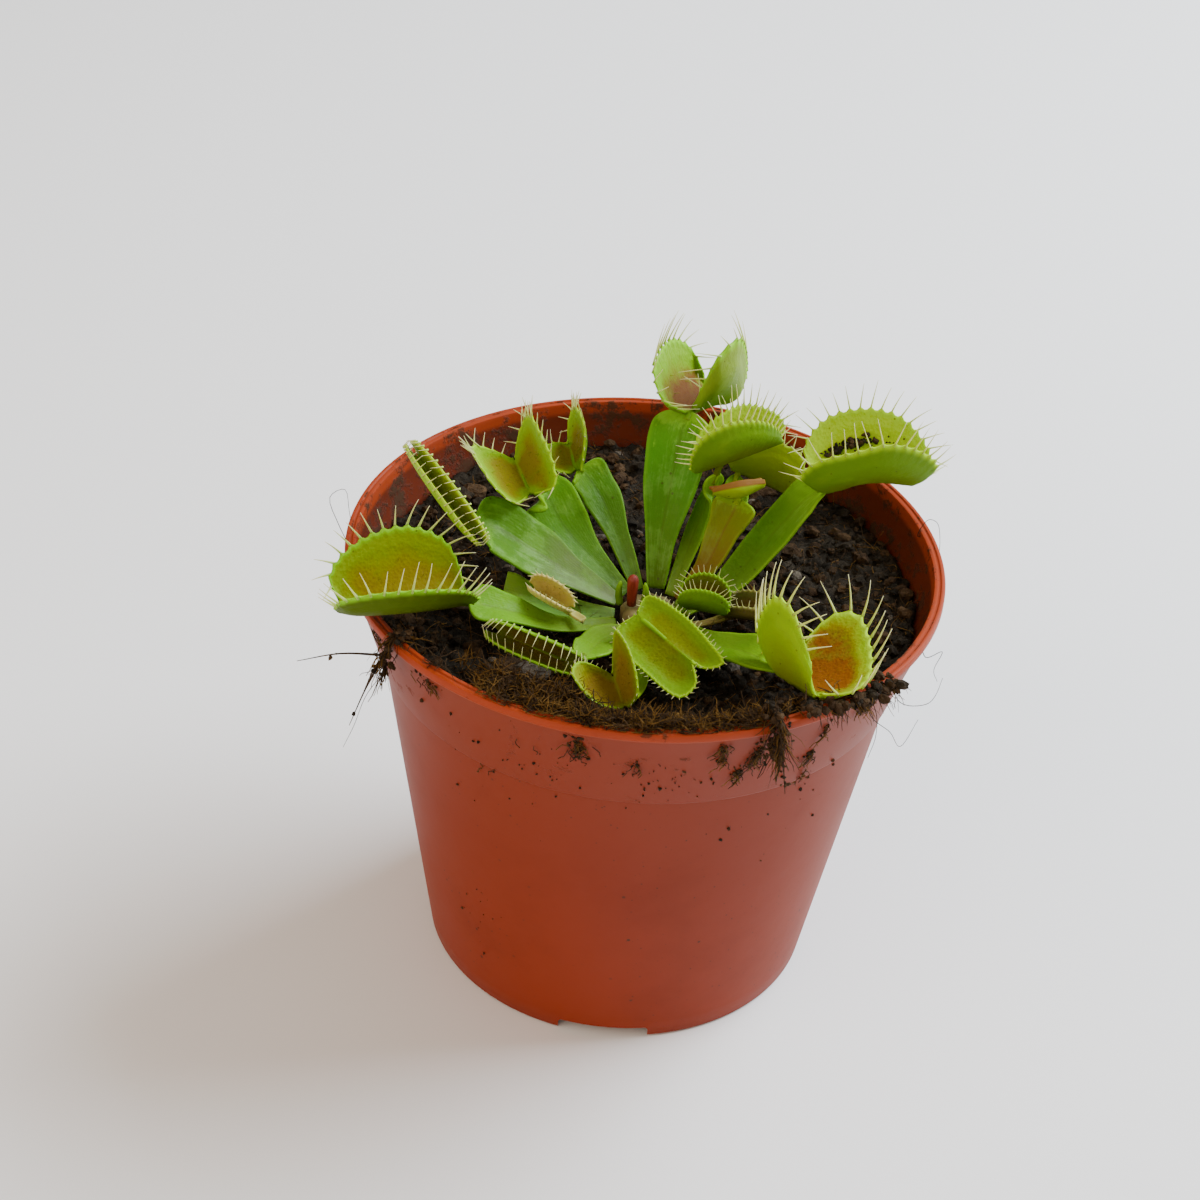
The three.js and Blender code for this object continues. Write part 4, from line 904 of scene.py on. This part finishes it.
def addPot():
    bm = spun(potProfile(), potAxis, pot["steps"])
    bmesh.ops.recalc_face_normals(bm, faces=bm.faces[:])
    body = newObject("potBody", toMesh(bm, "potBody"))
    cutter = potCutter()
    cut = body.modifiers.new("notches", "BOOLEAN")
    cut.operation = "DIFFERENCE"
    cut.solver = "EXACT"
    cut.object = cutter
    mesh = evaluated(body)
    bpy.data.objects.remove(cutter)
    bm = bmesh.new()
    bm.from_mesh(mesh)
    bmesh.ops.recalc_face_normals(bm, faces=bm.faces[:])
    bm.to_mesh(mesh)
    bm.free()
    for polygon in mesh.polygons:
        polygon.use_smooth = True
    mesh.set_sharp_from_angle(angle=math.radians(pot["sharpAngle"]))
    makePiece("potShell", mesh, [potFinish()], ["pot"])


addPot()
print("pot made")


# soil: lumpy peat with crumbs, moss fibres and roots

soil = {
    "level": 63.9, "frontHeap": 4.8, "edge": 40.9, "steps": 260, "ringStep": 0.5,
    "heart": (1, -9), "calmReach": (5, 16), "heapReach": (31, 41), "seed": 7,
    "crumbs": 4000, "clods": 46, "clodSize": (0.9, 2.1),
    "fibres": 3000, "fibreLength": (1.2, 5.0), "fibreRadius": (0.04, 0.12),
    # tufts of brown moss: angle and radius of the middle, their spread, height and number
    "moss": ((-94, 41.6, 17, 1.3, 1.0, 96), (-112, 38.0, 6, 1.9, 4.6, 78), (-72, 41.8, 8, 1.2, 0.5, 26)),
    "tuftFibres": 22, "tuftSpread": 0.75, "mossLength": (1.0, 3.6), "mossRadius": (0.05, 0.15),
    # dark and light colour of each kind of peat, and the size of its pattern
    "peats": {"peat_dark": ((0.01, 0.008, 0.005), (0.1, 0.072, 0.045), 300.0),
              "peat_brown": ((0.028, 0.015, 0.007), (0.19, 0.11, 0.05), 300.0),
              "moss_brown": ((0.1, 0.048, 0.008), (0.4, 0.22, 0.055), 500.0),
              "peat_grey": ((0.07, 0.058, 0.045), (0.27, 0.22, 0.16), 500.0)},
}


def soilTop(x, y):
    radius = math.hypot(x, y)
    front = max(0.0, -y / max(radius, 1))
    heap = soil["frontHeap"] * smoothStep(*soil["heapReach"], radius) * front
    lumps = 0.35 * math.sin(0.9 * x + 1.3) * math.cos(0.8 * y) + 0.25 * math.sin(1.7 * x - 1.1 * y)
    return soil["level"] + heap + lumps


def fromCrown(x, y):
    return math.hypot(x - soil["heart"][0], y - soil["heart"][1])


def soilRelief(x, y):
    point = Vector((x, y, 3.0))
    coarse = noise.noise(point * 0.22) * 0.9 + noise.noise(point * 0.55) * 0.7
    fine = noise.noise(point * 1.1) * 0.7 + noise.noise(point * 2.6) * 0.45
    calm = smoothStep(*soil["calmReach"], fromCrown(x, y))
    return soilTop(x, y) + (coarse * 0.9) * calm + fine * (0.4 + 0.6 * calm)


def mossShare(x, y):  # how much of the brown moss band lies here, 0 to 1
    turn = math.degrees(math.atan2(y, x))
    middle = smoothStep(30, 38, math.hypot(x, y) + 1.5 * noise.noise(Vector((x, y, 9.0)) * 0.3))
    return middle * smoothStep(-128, -112, turn) * (1 - smoothStep(-74, -58, turn))


def peatFinish(name, dark, light, coarse):
    skin = Finish(name, 0.85, 0.1)
    spot = skin.spot()
    middle = tuple(mix(a, b, 0.3) for a, b in zip(dark, light))
    skin.ramp(skin.clouds(spot, coarse, 8.0, 0.75), (0.36, dark), (0.56, middle), (0.74, light))
    grains = skin.cells(spot, 1500.0)
    skin.lay(skin.fade(grains, 0.0, 0.6, 0.5, 0.0), dark)
    skin.relief((grains, 0.6, 0.0006), (skin.clouds(spot, 900.0, 8.0, 0.8), 0.9, 0.0012))
    return skin.done()


peatMaterials = [peatFinish(name, *colours) for name, colours in soil["peats"].items()]


def addSoil():
    bottom = pot["floorHeight"] + pot["wall"] + 0.3
    rings = int(soil["edge"] / soil["ringStep"])
    profile = [(0, bottom), (pot["footRadius"] - pot["wall"] - 0.4, bottom),
               (pot["creaseRadius"] - pot["wall"] - 0.6, crease - 0.3)]
    profile += [(soil["edge"] * (1 - k / rings), soil["level"]) for k in range(rings)] + [(0, soil["level"])]
    bm = spun(profile, Vector(), soil["steps"])
    for vert in bm.verts:
        if vert.co.z > (crease + 1) * mm:
            vert.co.z = soilRelief(vert.co.x / mm, vert.co.y / mm) * mm
            radius = math.hypot(vert.co.x, vert.co.y) / mm
            if radius > soil["edge"] - 0.1:
                grow = min(1.8, max(-0.6, (vert.co.z / mm - soil["level"]) * 0.3)) / radius
                vert.co.x *= 1 + grow
                vert.co.y *= 1 + grow
    bmesh.ops.translate(bm, verts=bm.verts[:], vec=potAxis)
    for face in bm.faces:
        face.smooth = True
        centre = (face.calc_center_median() - potAxis) / mm
        face.material_index = 1 if mossShare(centre.x, centre.y) > 0.5 else 0
    makePiece("peatBed", bm, peatMaterials[:2], ["soil"], True)


def addLump(bm, draw, centre, smallest, largest, kinds=(0, 1, 1), squash=0.9):
    radius = draw.uniform(smallest, largest)
    shapeLump(bm, draw, centre, radius, draw.choice(kinds), squash)


def shapeLump(bm, draw, centre, radius, materialIndex, squash=0.7):
    big = radius > 0.42
    rough = (0.7, 1.25) if big else (0.55, 1.35)
    made = bmesh.ops.create_icosphere(bm, subdivisions=2 if big else 1, radius=radius * mm)["verts"]
    turn = Matrix.Rotation(draw.uniform(0, 6.28), 3, Vector((draw.random(), draw.random(), 1)).normalized())
    stretch = Vector((draw.uniform(0.6, 1.5), draw.uniform(0.6, 1.2), 1))
    for vert in made:
        vert.co = turn @ (vert.co * stretch * draw.uniform(*rough))
        vert.co.z *= squash
        vert.co += centre
    for face in {face for vert in made for face in vert.link_faces}:
        face.material_index = materialIndex


def soilSpot(draw, low, high):
    radius = soil["edge"] * math.sqrt(draw.uniform(low, high))
    turn = draw.uniform(0, fullTurn)
    return radius * math.cos(turn), radius * math.sin(turn)


def addCrumbs():
    draw = random.Random(soil["seed"])

    def addCrumb(part, _):
        x, y = soilSpot(draw, 0, 0.985)
        if fromCrown(x, y) < 6:
            return
        size = 0.18 + 1.1 * draw.random() ** 4
        brown = mossShare(x, y) * 0.8
        pick = draw.random()
        kind = 2 if pick < brown * 0.6 else 1 if pick < 0.42 + brown * 0.3 else 3 if pick > 0.96 else 0
        shapeLump(part, draw, place((x, y, soilRelief(x, y) + size * 0.2)), size, kind)

    def addClod(part, k):
        x, y = soilSpot(draw, 0.12, 0.9)
        size = draw.uniform(*soil["clodSize"])
        made = bmesh.ops.create_icosphere(part, subdivisions=3, radius=size * mm)["verts"]
        shape = Matrix.Diagonal((draw.uniform(0.8, 1.3), draw.uniform(0.8, 1.2), 0.62))
        centre = place((x, y, soilRelief(x, y) + size * 0.1))
        kind = draw.choice((0, 1, 1, 3))
        for vert in made:
            spot = Vector((x, y, k)) + vert.co / mm
            swell = 1 + 0.3 * noise.noise(spot * 0.9) + 0.22 * noise.noise(spot * 2.3)
            vert.co = centre + shape @ (vert.co * swell)
        for face in {face for vert in made for face in vert.link_faces}:
            face.material_index = kind

    bm = bmesh.new()
    inBatches(bm, soil["crumbs"], addCrumb)
    inBatches(bm, soil["clods"], addClod)
    makePiece("peatCrumbs", bm, peatMaterials, (), True)


def inBox(point):  # a loose strand ends inside the CAD model's box
    return Vector([min(max(value, low + 0.2 * mm), high - 0.2 * mm) for value, low, high in zip(point, *cadBox)])


# on the soil a strand stays above it, and over the lip no further out than the rim
def addFibre(bm, draw, start, heading, length, radius, materialIndex, droop, steps=5, onSoil=False):
    points = [inBox(start)]
    direction = heading.normalized()
    for _ in range(steps):
        drift = Vector((draw.uniform(-1, 1), draw.uniform(-1, 1), draw.uniform(-1, 1) - droop))
        direction = (direction + drift * 0.4).normalized()
        nextPoint = points[-1] + direction * (length / steps) * mm
        if onSoil:
            local = (nextPoint - potAxis) / mm
            far = math.hypot(local.x, local.y)
            inside = far < soil["edge"] + 1.2 or points[-1].z < (potHeight - 2.2) * mm
            local *= min(1.0, (soil["edge"] + 0.9 if inside else rimRadius - 0.2) / far)
            ground = soilRelief(local.x, local.y) if inside else potHeight
            nextPoint.x = potAxis.x + local.x * mm
            nextPoint.y = potAxis.y + local.y * mm
            nextPoint.z = max(nextPoint.z, (ground + radius) * mm)
        points.append(inBox(nextPoint))
    addTube(bm, points, taper(radius, 0.4, steps), 3, materialIndex)


def addMoss():
    draw = random.Random(soil["seed"] + 1)
    tufts = []
    for angle, reach, spread, thick, lift, count in soil["moss"]:
        for _ in range(count):
            turn = math.radians(draw.gauss(angle, spread))
            radius = min(rimRadius - 0.9, reach - abs(draw.gauss(0, thick)) + draw.uniform(0, 2.6))
            tufts.append((radius * math.cos(turn), radius * math.sin(turn), draw.uniform(0, lift + 0.6),
                          draw.choice((1, 1, 2, 2, 2))))

    def addTuft(part, k):
        x, y, lift, kind = tufts[k]
        for _ in range(soil["tuftFibres"]):
            a, b = x + draw.gauss(0, soil["tuftSpread"]), y + draw.gauss(0, soil["tuftSpread"])
            shrink = min(1.0, (rimRadius - 0.3) / math.hypot(a, b))
            a, b = a * shrink, b * shrink
            over = math.hypot(a, b) - soil["edge"] - 1.2
            foot = potHeight if over > 0 else soilRelief(a, b)
            start = place((a, b, foot + draw.uniform(0, lift)))
            heading = Vector((draw.uniform(-1, 1), draw.uniform(-1, 1), draw.uniform(-0.3, 0.8)))
            addFibre(part, draw, start, heading, draw.uniform(*soil["mossLength"]),
                     draw.uniform(*soil["mossRadius"]), kind if draw.random() < 0.8 else 1, 0.15, 4, True)

    def addSoilFibre(part, _):
        x, y = soilSpot(draw, 0.05, 0.98)
        start = place((x, y, soilRelief(x, y) + 0.1))
        heading = Vector((draw.uniform(-1, 1), draw.uniform(-1, 1), draw.uniform(0, 0.5)))
        addFibre(part, draw, start, heading, draw.uniform(*soil["fibreLength"]),
                 draw.uniform(*soil["fibreRadius"]), draw.choice((0, 0, 1, 1, 2)), 0.3, 4, True)

    for name, count, addOne, size in (("mossFibres", len(tufts), addTuft, 4),
                                      ("soilFibres", soil["fibres"], addSoilFibre, 50)):
        bm = bmesh.new()
        inBatches(bm, count, addOne, size)
        makePiece(name, bm, peatMaterials)


addSoil()
addCrumbs()
addMoss()
print("soil made")


# peat and roots hanging over the lip, dirt on the collar, root hairs and dried leaf curls

overhang = {
    "root_clump_left": {"seed": 40, "angle": 219, "roots": ((-12.5, 0.5, -2.5), (-4.7, -2.5, -11), (-3, 0.5, -7)),
                        "rootLumps": 3, "lumps": 80, "lumpSize": 0.55, "fibres": 90},
    "root_clump_front": {"seed": 41, "angle": 295, "roots": ((1.5, -1.6, -8), (-2.5, -1.2, -6)),
                         "rootLumps": 16, "lumps": 90, "lumpSize": 0.6, "fibres": 150},
}

# peat and bits of root stuck to the outside of the collar: place in mm about the pot's axis, spread
# sideways and down, lumps and strands
wallDirt = {"seed": 61, "highest": 68.3, "strandRadius": 0.07, "spots": (
    (-8.3, -44.3, 66.5, 1.5, 2.6, 60, 26), (0.2, -45.0, 63.6, 0.6, 0.8, 14, 5), (12.5, -43, 66.8, 0.7, 2.6, 30, 22),
    (17.5, -41, 65.0, 1.0, 2.6, 50, 34), (15.5, -42, 61.0, 0.8, 1.2, 40, 12), (27.5, -35.5, 66, 0.5, 1.6, 18, 10),
    (26.8, -36.0, 60.8, 0.6, 0.8, 26, 12), (26.5, -35, 56.5, 0.2, 2.4, 3, 7), (33, -30, 67.5, 2.2, 0.8, 40, 22),
    (-30.0, -33.0, 67.8, 2.4, 0.6, 24, 12), (-38.5, -22, 67.8, 1.6, 0.6, 20, 10), (6, -44.5, 60, 7, 6, 46, 0),
    (-20, -40, 58, 16, 10, 40, 4), (24, -38, 50, 14, 12, 30, 0), (-26, -34, 20, 7, 8, 16, 0))}

# root hairs and curls as curves in mm about the pot's axis
hairs = {
    "seed": 5, "radius": 0.07, "curlRadius": 0.16,
    "endLumps": 26, "endLumpSize": (0.2, 0.75), "endFibres": 14, "endLength": (1.5, 4.5), "endRadius": (0.05, 0.12),
    "lines": [
        [(-42.4, -9.6, 69.8), (-42, -9.5, 70.2), (-45.8, -1.7, 72), (-48.2, 4.9, 73), (-46.4, 8.9, 72),
         (-45, 3.4, 71.2), (-43, -3, 70)],
        [(42.2, 10.2, 70.2), (41.5, 10, 70.5), (43, 11.5, 72.6), (44.3, 10.4, 72.8), (44.8, 8.6, 71),
         (44.8, 7, 69.2)],
        [(40.2, -18.6, 70.6), (41, -19.5, 69), (43.8, -16.5, 68), (43.2, -15.5, 64), (44.4, -13, 60)],
        [(32.1, -29.7, 68), (33, -30.5, 66), (36.5, -27.4, 61), (38.6, -25.4, 57), (41.4, -20, 58)],
        [(35.9, -24.3, 67), (37.5, -25.4, 65), (42, -21.4, 62), (43.6, -18.4, 61.5), (44.7, -15.4, 62.5)],
        [(-34.1, -28.7, 70.4), (-34.5, -29, 69), (-38.6, -27.2, 61), (-41, -23.6, 52), (-43, -20, 45)],
        [(31.5, -31.4, 71.6), (33.4, -32.4, 68), (33.8, -32.6, 64), (33.2, -32.4, 60)],
    ],
    "curls": [
        [(13.0, -3.8, 66.2), (14.2, -3.6, 68.4), (15.8, -4.2, 68.8), (16.6, -5.6, 67.6), (15.6, -6.4, 66.6),
         (14.6, -5.4, 66.4)],
        [(17.1, -7.5, 66), (17.6, -6.2, 67.6), (16.6, -5.4, 68.4), (15.4, -6.4, 67.8), (15.7, -8.4, 66.4)],
        [(14.2, -6.3, 66), (12.6, -6, 67.4), (11.6, -4.8, 67.8), (11.9, -3.4, 66.6)],
    ],
    "rootEnds": [(24.5, -37.2, 71.8), (27.5, -36.6, 71.6), (30.5, -34.6, 71.4), (33, -31.8, 71.2),
                 (35, -29.2, 70.8)],
}


def addOverhang(name, shape):
    draw = random.Random(shape["seed"])
    bm = bmesh.new()
    path = [place(ringPoint(radius, shape["angle"], potHeight + height)) for radius, height in (
        (40.2, -1.2), (rimRadius - 2.2, 1.3), (rimRadius - 0.3, 1.4), (rimRadius + 1.3, -1.6), (rimRadius + 0.7, -5))]
    for _ in range(shape["lumps"]):
        spot = splinePoint(path, draw.random())
        addLump(bm, draw, spot + jitter(draw, 0.7, 0.7, 0.4) * mm, 0.2, shape["lumpSize"])
    for reach in shape["roots"]:
        start = path[3]
        end = start + Vector(reach) * mm
        root = [start, mix(start, end, 0.5) + Vector((0, 0, 0.8)) * mm, end]
        addTube(bm, smoothPath(root, 10), taper(0.2, 0.25, 10), 6, 1)
        for _ in range(shape["rootLumps"]):
            spot = splinePoint(root, draw.uniform(0, 0.9))
            addLump(bm, draw, spot + jitter(draw, 0.35, 0.35, 0.3) * mm, 0.12, 0.4, squash=1.0)
    for _ in range(shape["fibres"]):
        start = splinePoint(path, draw.uniform(0.3, 1))
        heading = start - potAxis
        heading = Vector((heading.x + draw.gauss(0, 0.03), heading.y + draw.gauss(0, 0.03), draw.uniform(-0.05, 0.01)))
        addFibre(bm, draw, start, heading, draw.uniform(1.5, 5.5), draw.uniform(0.05, 0.14),
                 draw.choice((1, 1, 2)), 0.9)
    makePiece(name + "_fine", bm, peatMaterials, [name], True)


def wallRadius(height):  # outside of the pot's collar and body
    if height > crease:
        return mix(collarFoot, rimRadius - 0.85, (height - crease) / (pot["collarHeight"] - 2.0))
    return mix(pot["footRadius"], pot["creaseRadius"], height / crease)


def addWallDirt():
    draw = random.Random(wallDirt["seed"])
    bm = bmesh.new()
    for x, y, z, wide, tall, lumps, strands in wallDirt["spots"]:
        for k in range(lumps + strands):
            height = min(wallDirt["highest"], z + draw.gauss(0, tall / 2))
            turn = math.degrees(math.atan2(y, x)) + math.degrees(draw.gauss(0, wide / 2) / 44)
            if k < lumps:
                size = 0.07 + 0.24 * draw.random() ** 2
                spot = place(ringPoint(wallRadius(height) + size * 0.25, turn, height))
                shapeLump(bm, draw, spot, size, draw.choice((0, 1, 1)), 1.0)
            else:
                path = [ringPoint(wallRadius(height) + 0.25, turn, height)]
                for _ in range(4):
                    turn += draw.uniform(-0.9, 0.9)
                    height -= draw.uniform(0.1, 0.9)
                    path.append(ringPoint(wallRadius(height) + 0.2 + draw.uniform(0, 0.3), turn, height))
                radii = [wallDirt["strandRadius"] * mm] * 5
                addTube(bm, [place(point) for point in path], radii, 3, draw.choice((1, 1, 2)))
    makePiece("collarDirt", bm, peatMaterials, (), True)


# peat splashed into the fold of a trap: u and v where it lies thickest, as shares of the lobe
leafCrumbs = {
    "seed": 62, "leaf": "leaf_right_long", "count": 120, "heaped": 90, "middle": 0.36, "spread": 0.09,
    "reach": 0.52, "smallest": 0.12, "heapLargest": 0.5, "strayLargest": 0.2,
}


def addLeafCrumbs():
    draw = random.Random(leafCrumbs["seed"])
    surface = trapSurface(leaves[leafCrumbs["leaf"]])
    middle = leafCrumbs["middle"]
    back = max((-1, 1), key=lambda side: surface(0.5, side).y)
    bm = bmesh.new()
    for k in range(leafCrumbs["count"]):
        heaped = k < leafCrumbs["heaped"]
        u = draw.gauss(middle, leafCrumbs["spread"]) if heaped else draw.uniform(0.15, 0.8)
        reach = leafCrumbs["reach"] + 1.2 * (u - middle) ** 2 + draw.gauss(0, 0.035)
        spot = surface(u, back * reach) + Vector((0, -0.3, 0.2)) * mm
        largest = leafCrumbs["heapLargest" if heaped else "strayLargest"]
        addLump(bm, draw, spot, leafCrumbs["smallest"], largest, (0, 0, 1))
    makePiece("leafCrumbs", bm, peatMaterials, (), True)


def addHairs():
    draw = random.Random(hairs["seed"])
    bm = bmesh.new()
    for line in hairs["lines"]:
        path = smoothPath([place(point) for point in line], 24)
        addTube(bm, path, taper(hairs["radius"], 0.5, 24), 5, 0)
    for line in hairs["curls"]:
        path = smoothPath([place(point) for point in line], 20)
        addTube(bm, path, taper(hairs["curlRadius"], 0.6, 20), 6, 2)
    for point in hairs["rootEnds"]:
        for _ in range(hairs["endLumps"]):
            spot = place(Vector(point) + jitter(draw, 0.8, 0.8, 0.45) + Vector((0, 0, 0.2)))
            addLump(bm, draw, spot, *hairs["endLumpSize"])
        for _ in range(hairs["endFibres"]):
            start = place(Vector(point) + jitter(draw, 0.6, 0.6) + Vector((0, 0, 0.4)))
            heading = Vector((point[0] + draw.gauss(0, 14), point[1] + draw.gauss(0, 14), draw.uniform(-8, 14)))
            addFibre(bm, draw, start, heading, draw.uniform(*hairs["endLength"]),
                     draw.uniform(*hairs["endRadius"]), draw.choice((0, 1, 2)), 0.7)
    makePiece("rootHairs", bm, peatMaterials, (), True)


for clumpName, clumpShape in overhang.items():
    addOverhang(clumpName, clumpShape)
addWallDirt()
addLeafCrumbs()
addHairs()
print("overhangs made")


# crown and the newest leaf

crown = {
    "centre": (1, -9), "radius": 4.3, "top": 67.4, "bottom": 56, "steps": 64, "swell": 0.05,
    "shootFoot": (-1.7, -10, 67.8), "shootHeight": 5.2, "shootRadius": 0.85, "scaleRadius": 0.55,
    # share of the height and of the radius, up the shoot and up each scale
    "shoot": ((0, 0.8), (0.2, 0.86), (0.4, 0.92), (0.6, 0.98), (0.75, 1), (0.86, 0.95), (0.94, 0.75), (1, 0.3)),
    "scaleTaper": (0.9, 1, 1, 1, 0.95, 0.9, 0.8, 0.6, 0.25),
}


def crownFinish():
    skin = Finish("pale_crown", 0.6, 0.3)
    cloud = skin.clouds(skin.spot(), 350.0, 5.0)
    skin.ramp(cloud, (0.3, (0.07, 0.045, 0.015)), (0.55, (0.2, 0.16, 0.06)), (0.8, (0.36, 0.34, 0.17)))
    skin.relief((cloud, 0.5, 0.0008))
    return skin.done()


def shootFinish():
    skin = Finish("red_shoot", 0.5, 0.3)
    streaks = skin.clouds(skin.spot((1, 1, 0.2)), 1400.0, 4.0)
    skin.ramp(streaks, (0.3, (0.12, 0.01, 0.006)), (0.7, (0.26, 0.03, 0.014)))
    skin.relief((skin.clouds(skin.spot(), 2200.0), 0.4, 0.0004))
    return skin.done()


def addCrown():
    radius, top, bottom = crown["radius"], crown["top"], crown["bottom"]
    bm = spun([(0, bottom), (2.6, bottom), (radius, bottom + 3), (radius, top - 1.3), (radius - 0.5, top - 0.6),
               (radius - 1.8, top - 0.1), (0, top)], Vector(), crown["steps"])
    bmesh.ops.subdivide_edges(bm, edges=bm.edges[:], cuts=1, use_grid_fill=True)
    for vert in bm.verts:
        swell = 1 - crown["swell"] + crown["swell"] * math.sin(9 * math.atan2(vert.co.y, vert.co.x))
        vert.co.x *= swell
        vert.co.y *= swell
    bmesh.ops.translate(bm, verts=bm.verts[:], vec=place((*crown["centre"], 0)))
    for face in bm.faces:
        face.smooth = True
    makePiece("crownBulb", bm, [crownFinish()], ["crown"], True)


def addShoot():
    foot = Vector(crown["shootFoot"])
    radius, thin = crown["shootRadius"], crown["scaleRadius"]
    bm = bmesh.new()
    points = [place(foot + Vector((0, 0, crown["shootHeight"] * rise))) for rise, _ in crown["shoot"]]
    addTube(bm, points, [radius * share * mm for _, share in crown["shoot"]], 20)
    makePiece("redShoot", bm, [shootFinish()], ["young_shoot"])
    for side, name in ((-1, "shoot_scale_left"), (1, "shoot_scale_right")):
        x = foot.x + side * (radius + thin + 0.3)
        path = [place((x + side * out, foot.y, foot.z + rise)) for out, rise in ((0, 0), (0.3, 2), (0.1, 4))]
        bm = bmesh.new()
        addTube(bm, smoothPath(path, 8), [thin * mm * share for share in crown["scaleTaper"]], 14)
        makePiece(name + "_fine", bm, [leafMaterials["yellowOlive"][0]], [name])


addCrown()
addShoot()
print("crown made")


def addFloor():
    skin = Finish("pale_floor", 0.6, 0.3)
    skin.colour = view["floorColour"]
    bm = bmesh.new()
    bmesh.ops.create_grid(bm, x_segments=2, y_segments=2, size=view["floorSize"])
    bmesh.ops.translate(bm, verts=bm.verts[:], vec=(0, 0, -view["floorDrop"]))
    floor = newObject("floor", toMesh(bm, "floor"))
    floor.data.materials.append(skin.done())


addCamera()
addFloor()
addWorld()
addLights()
print("stage made")
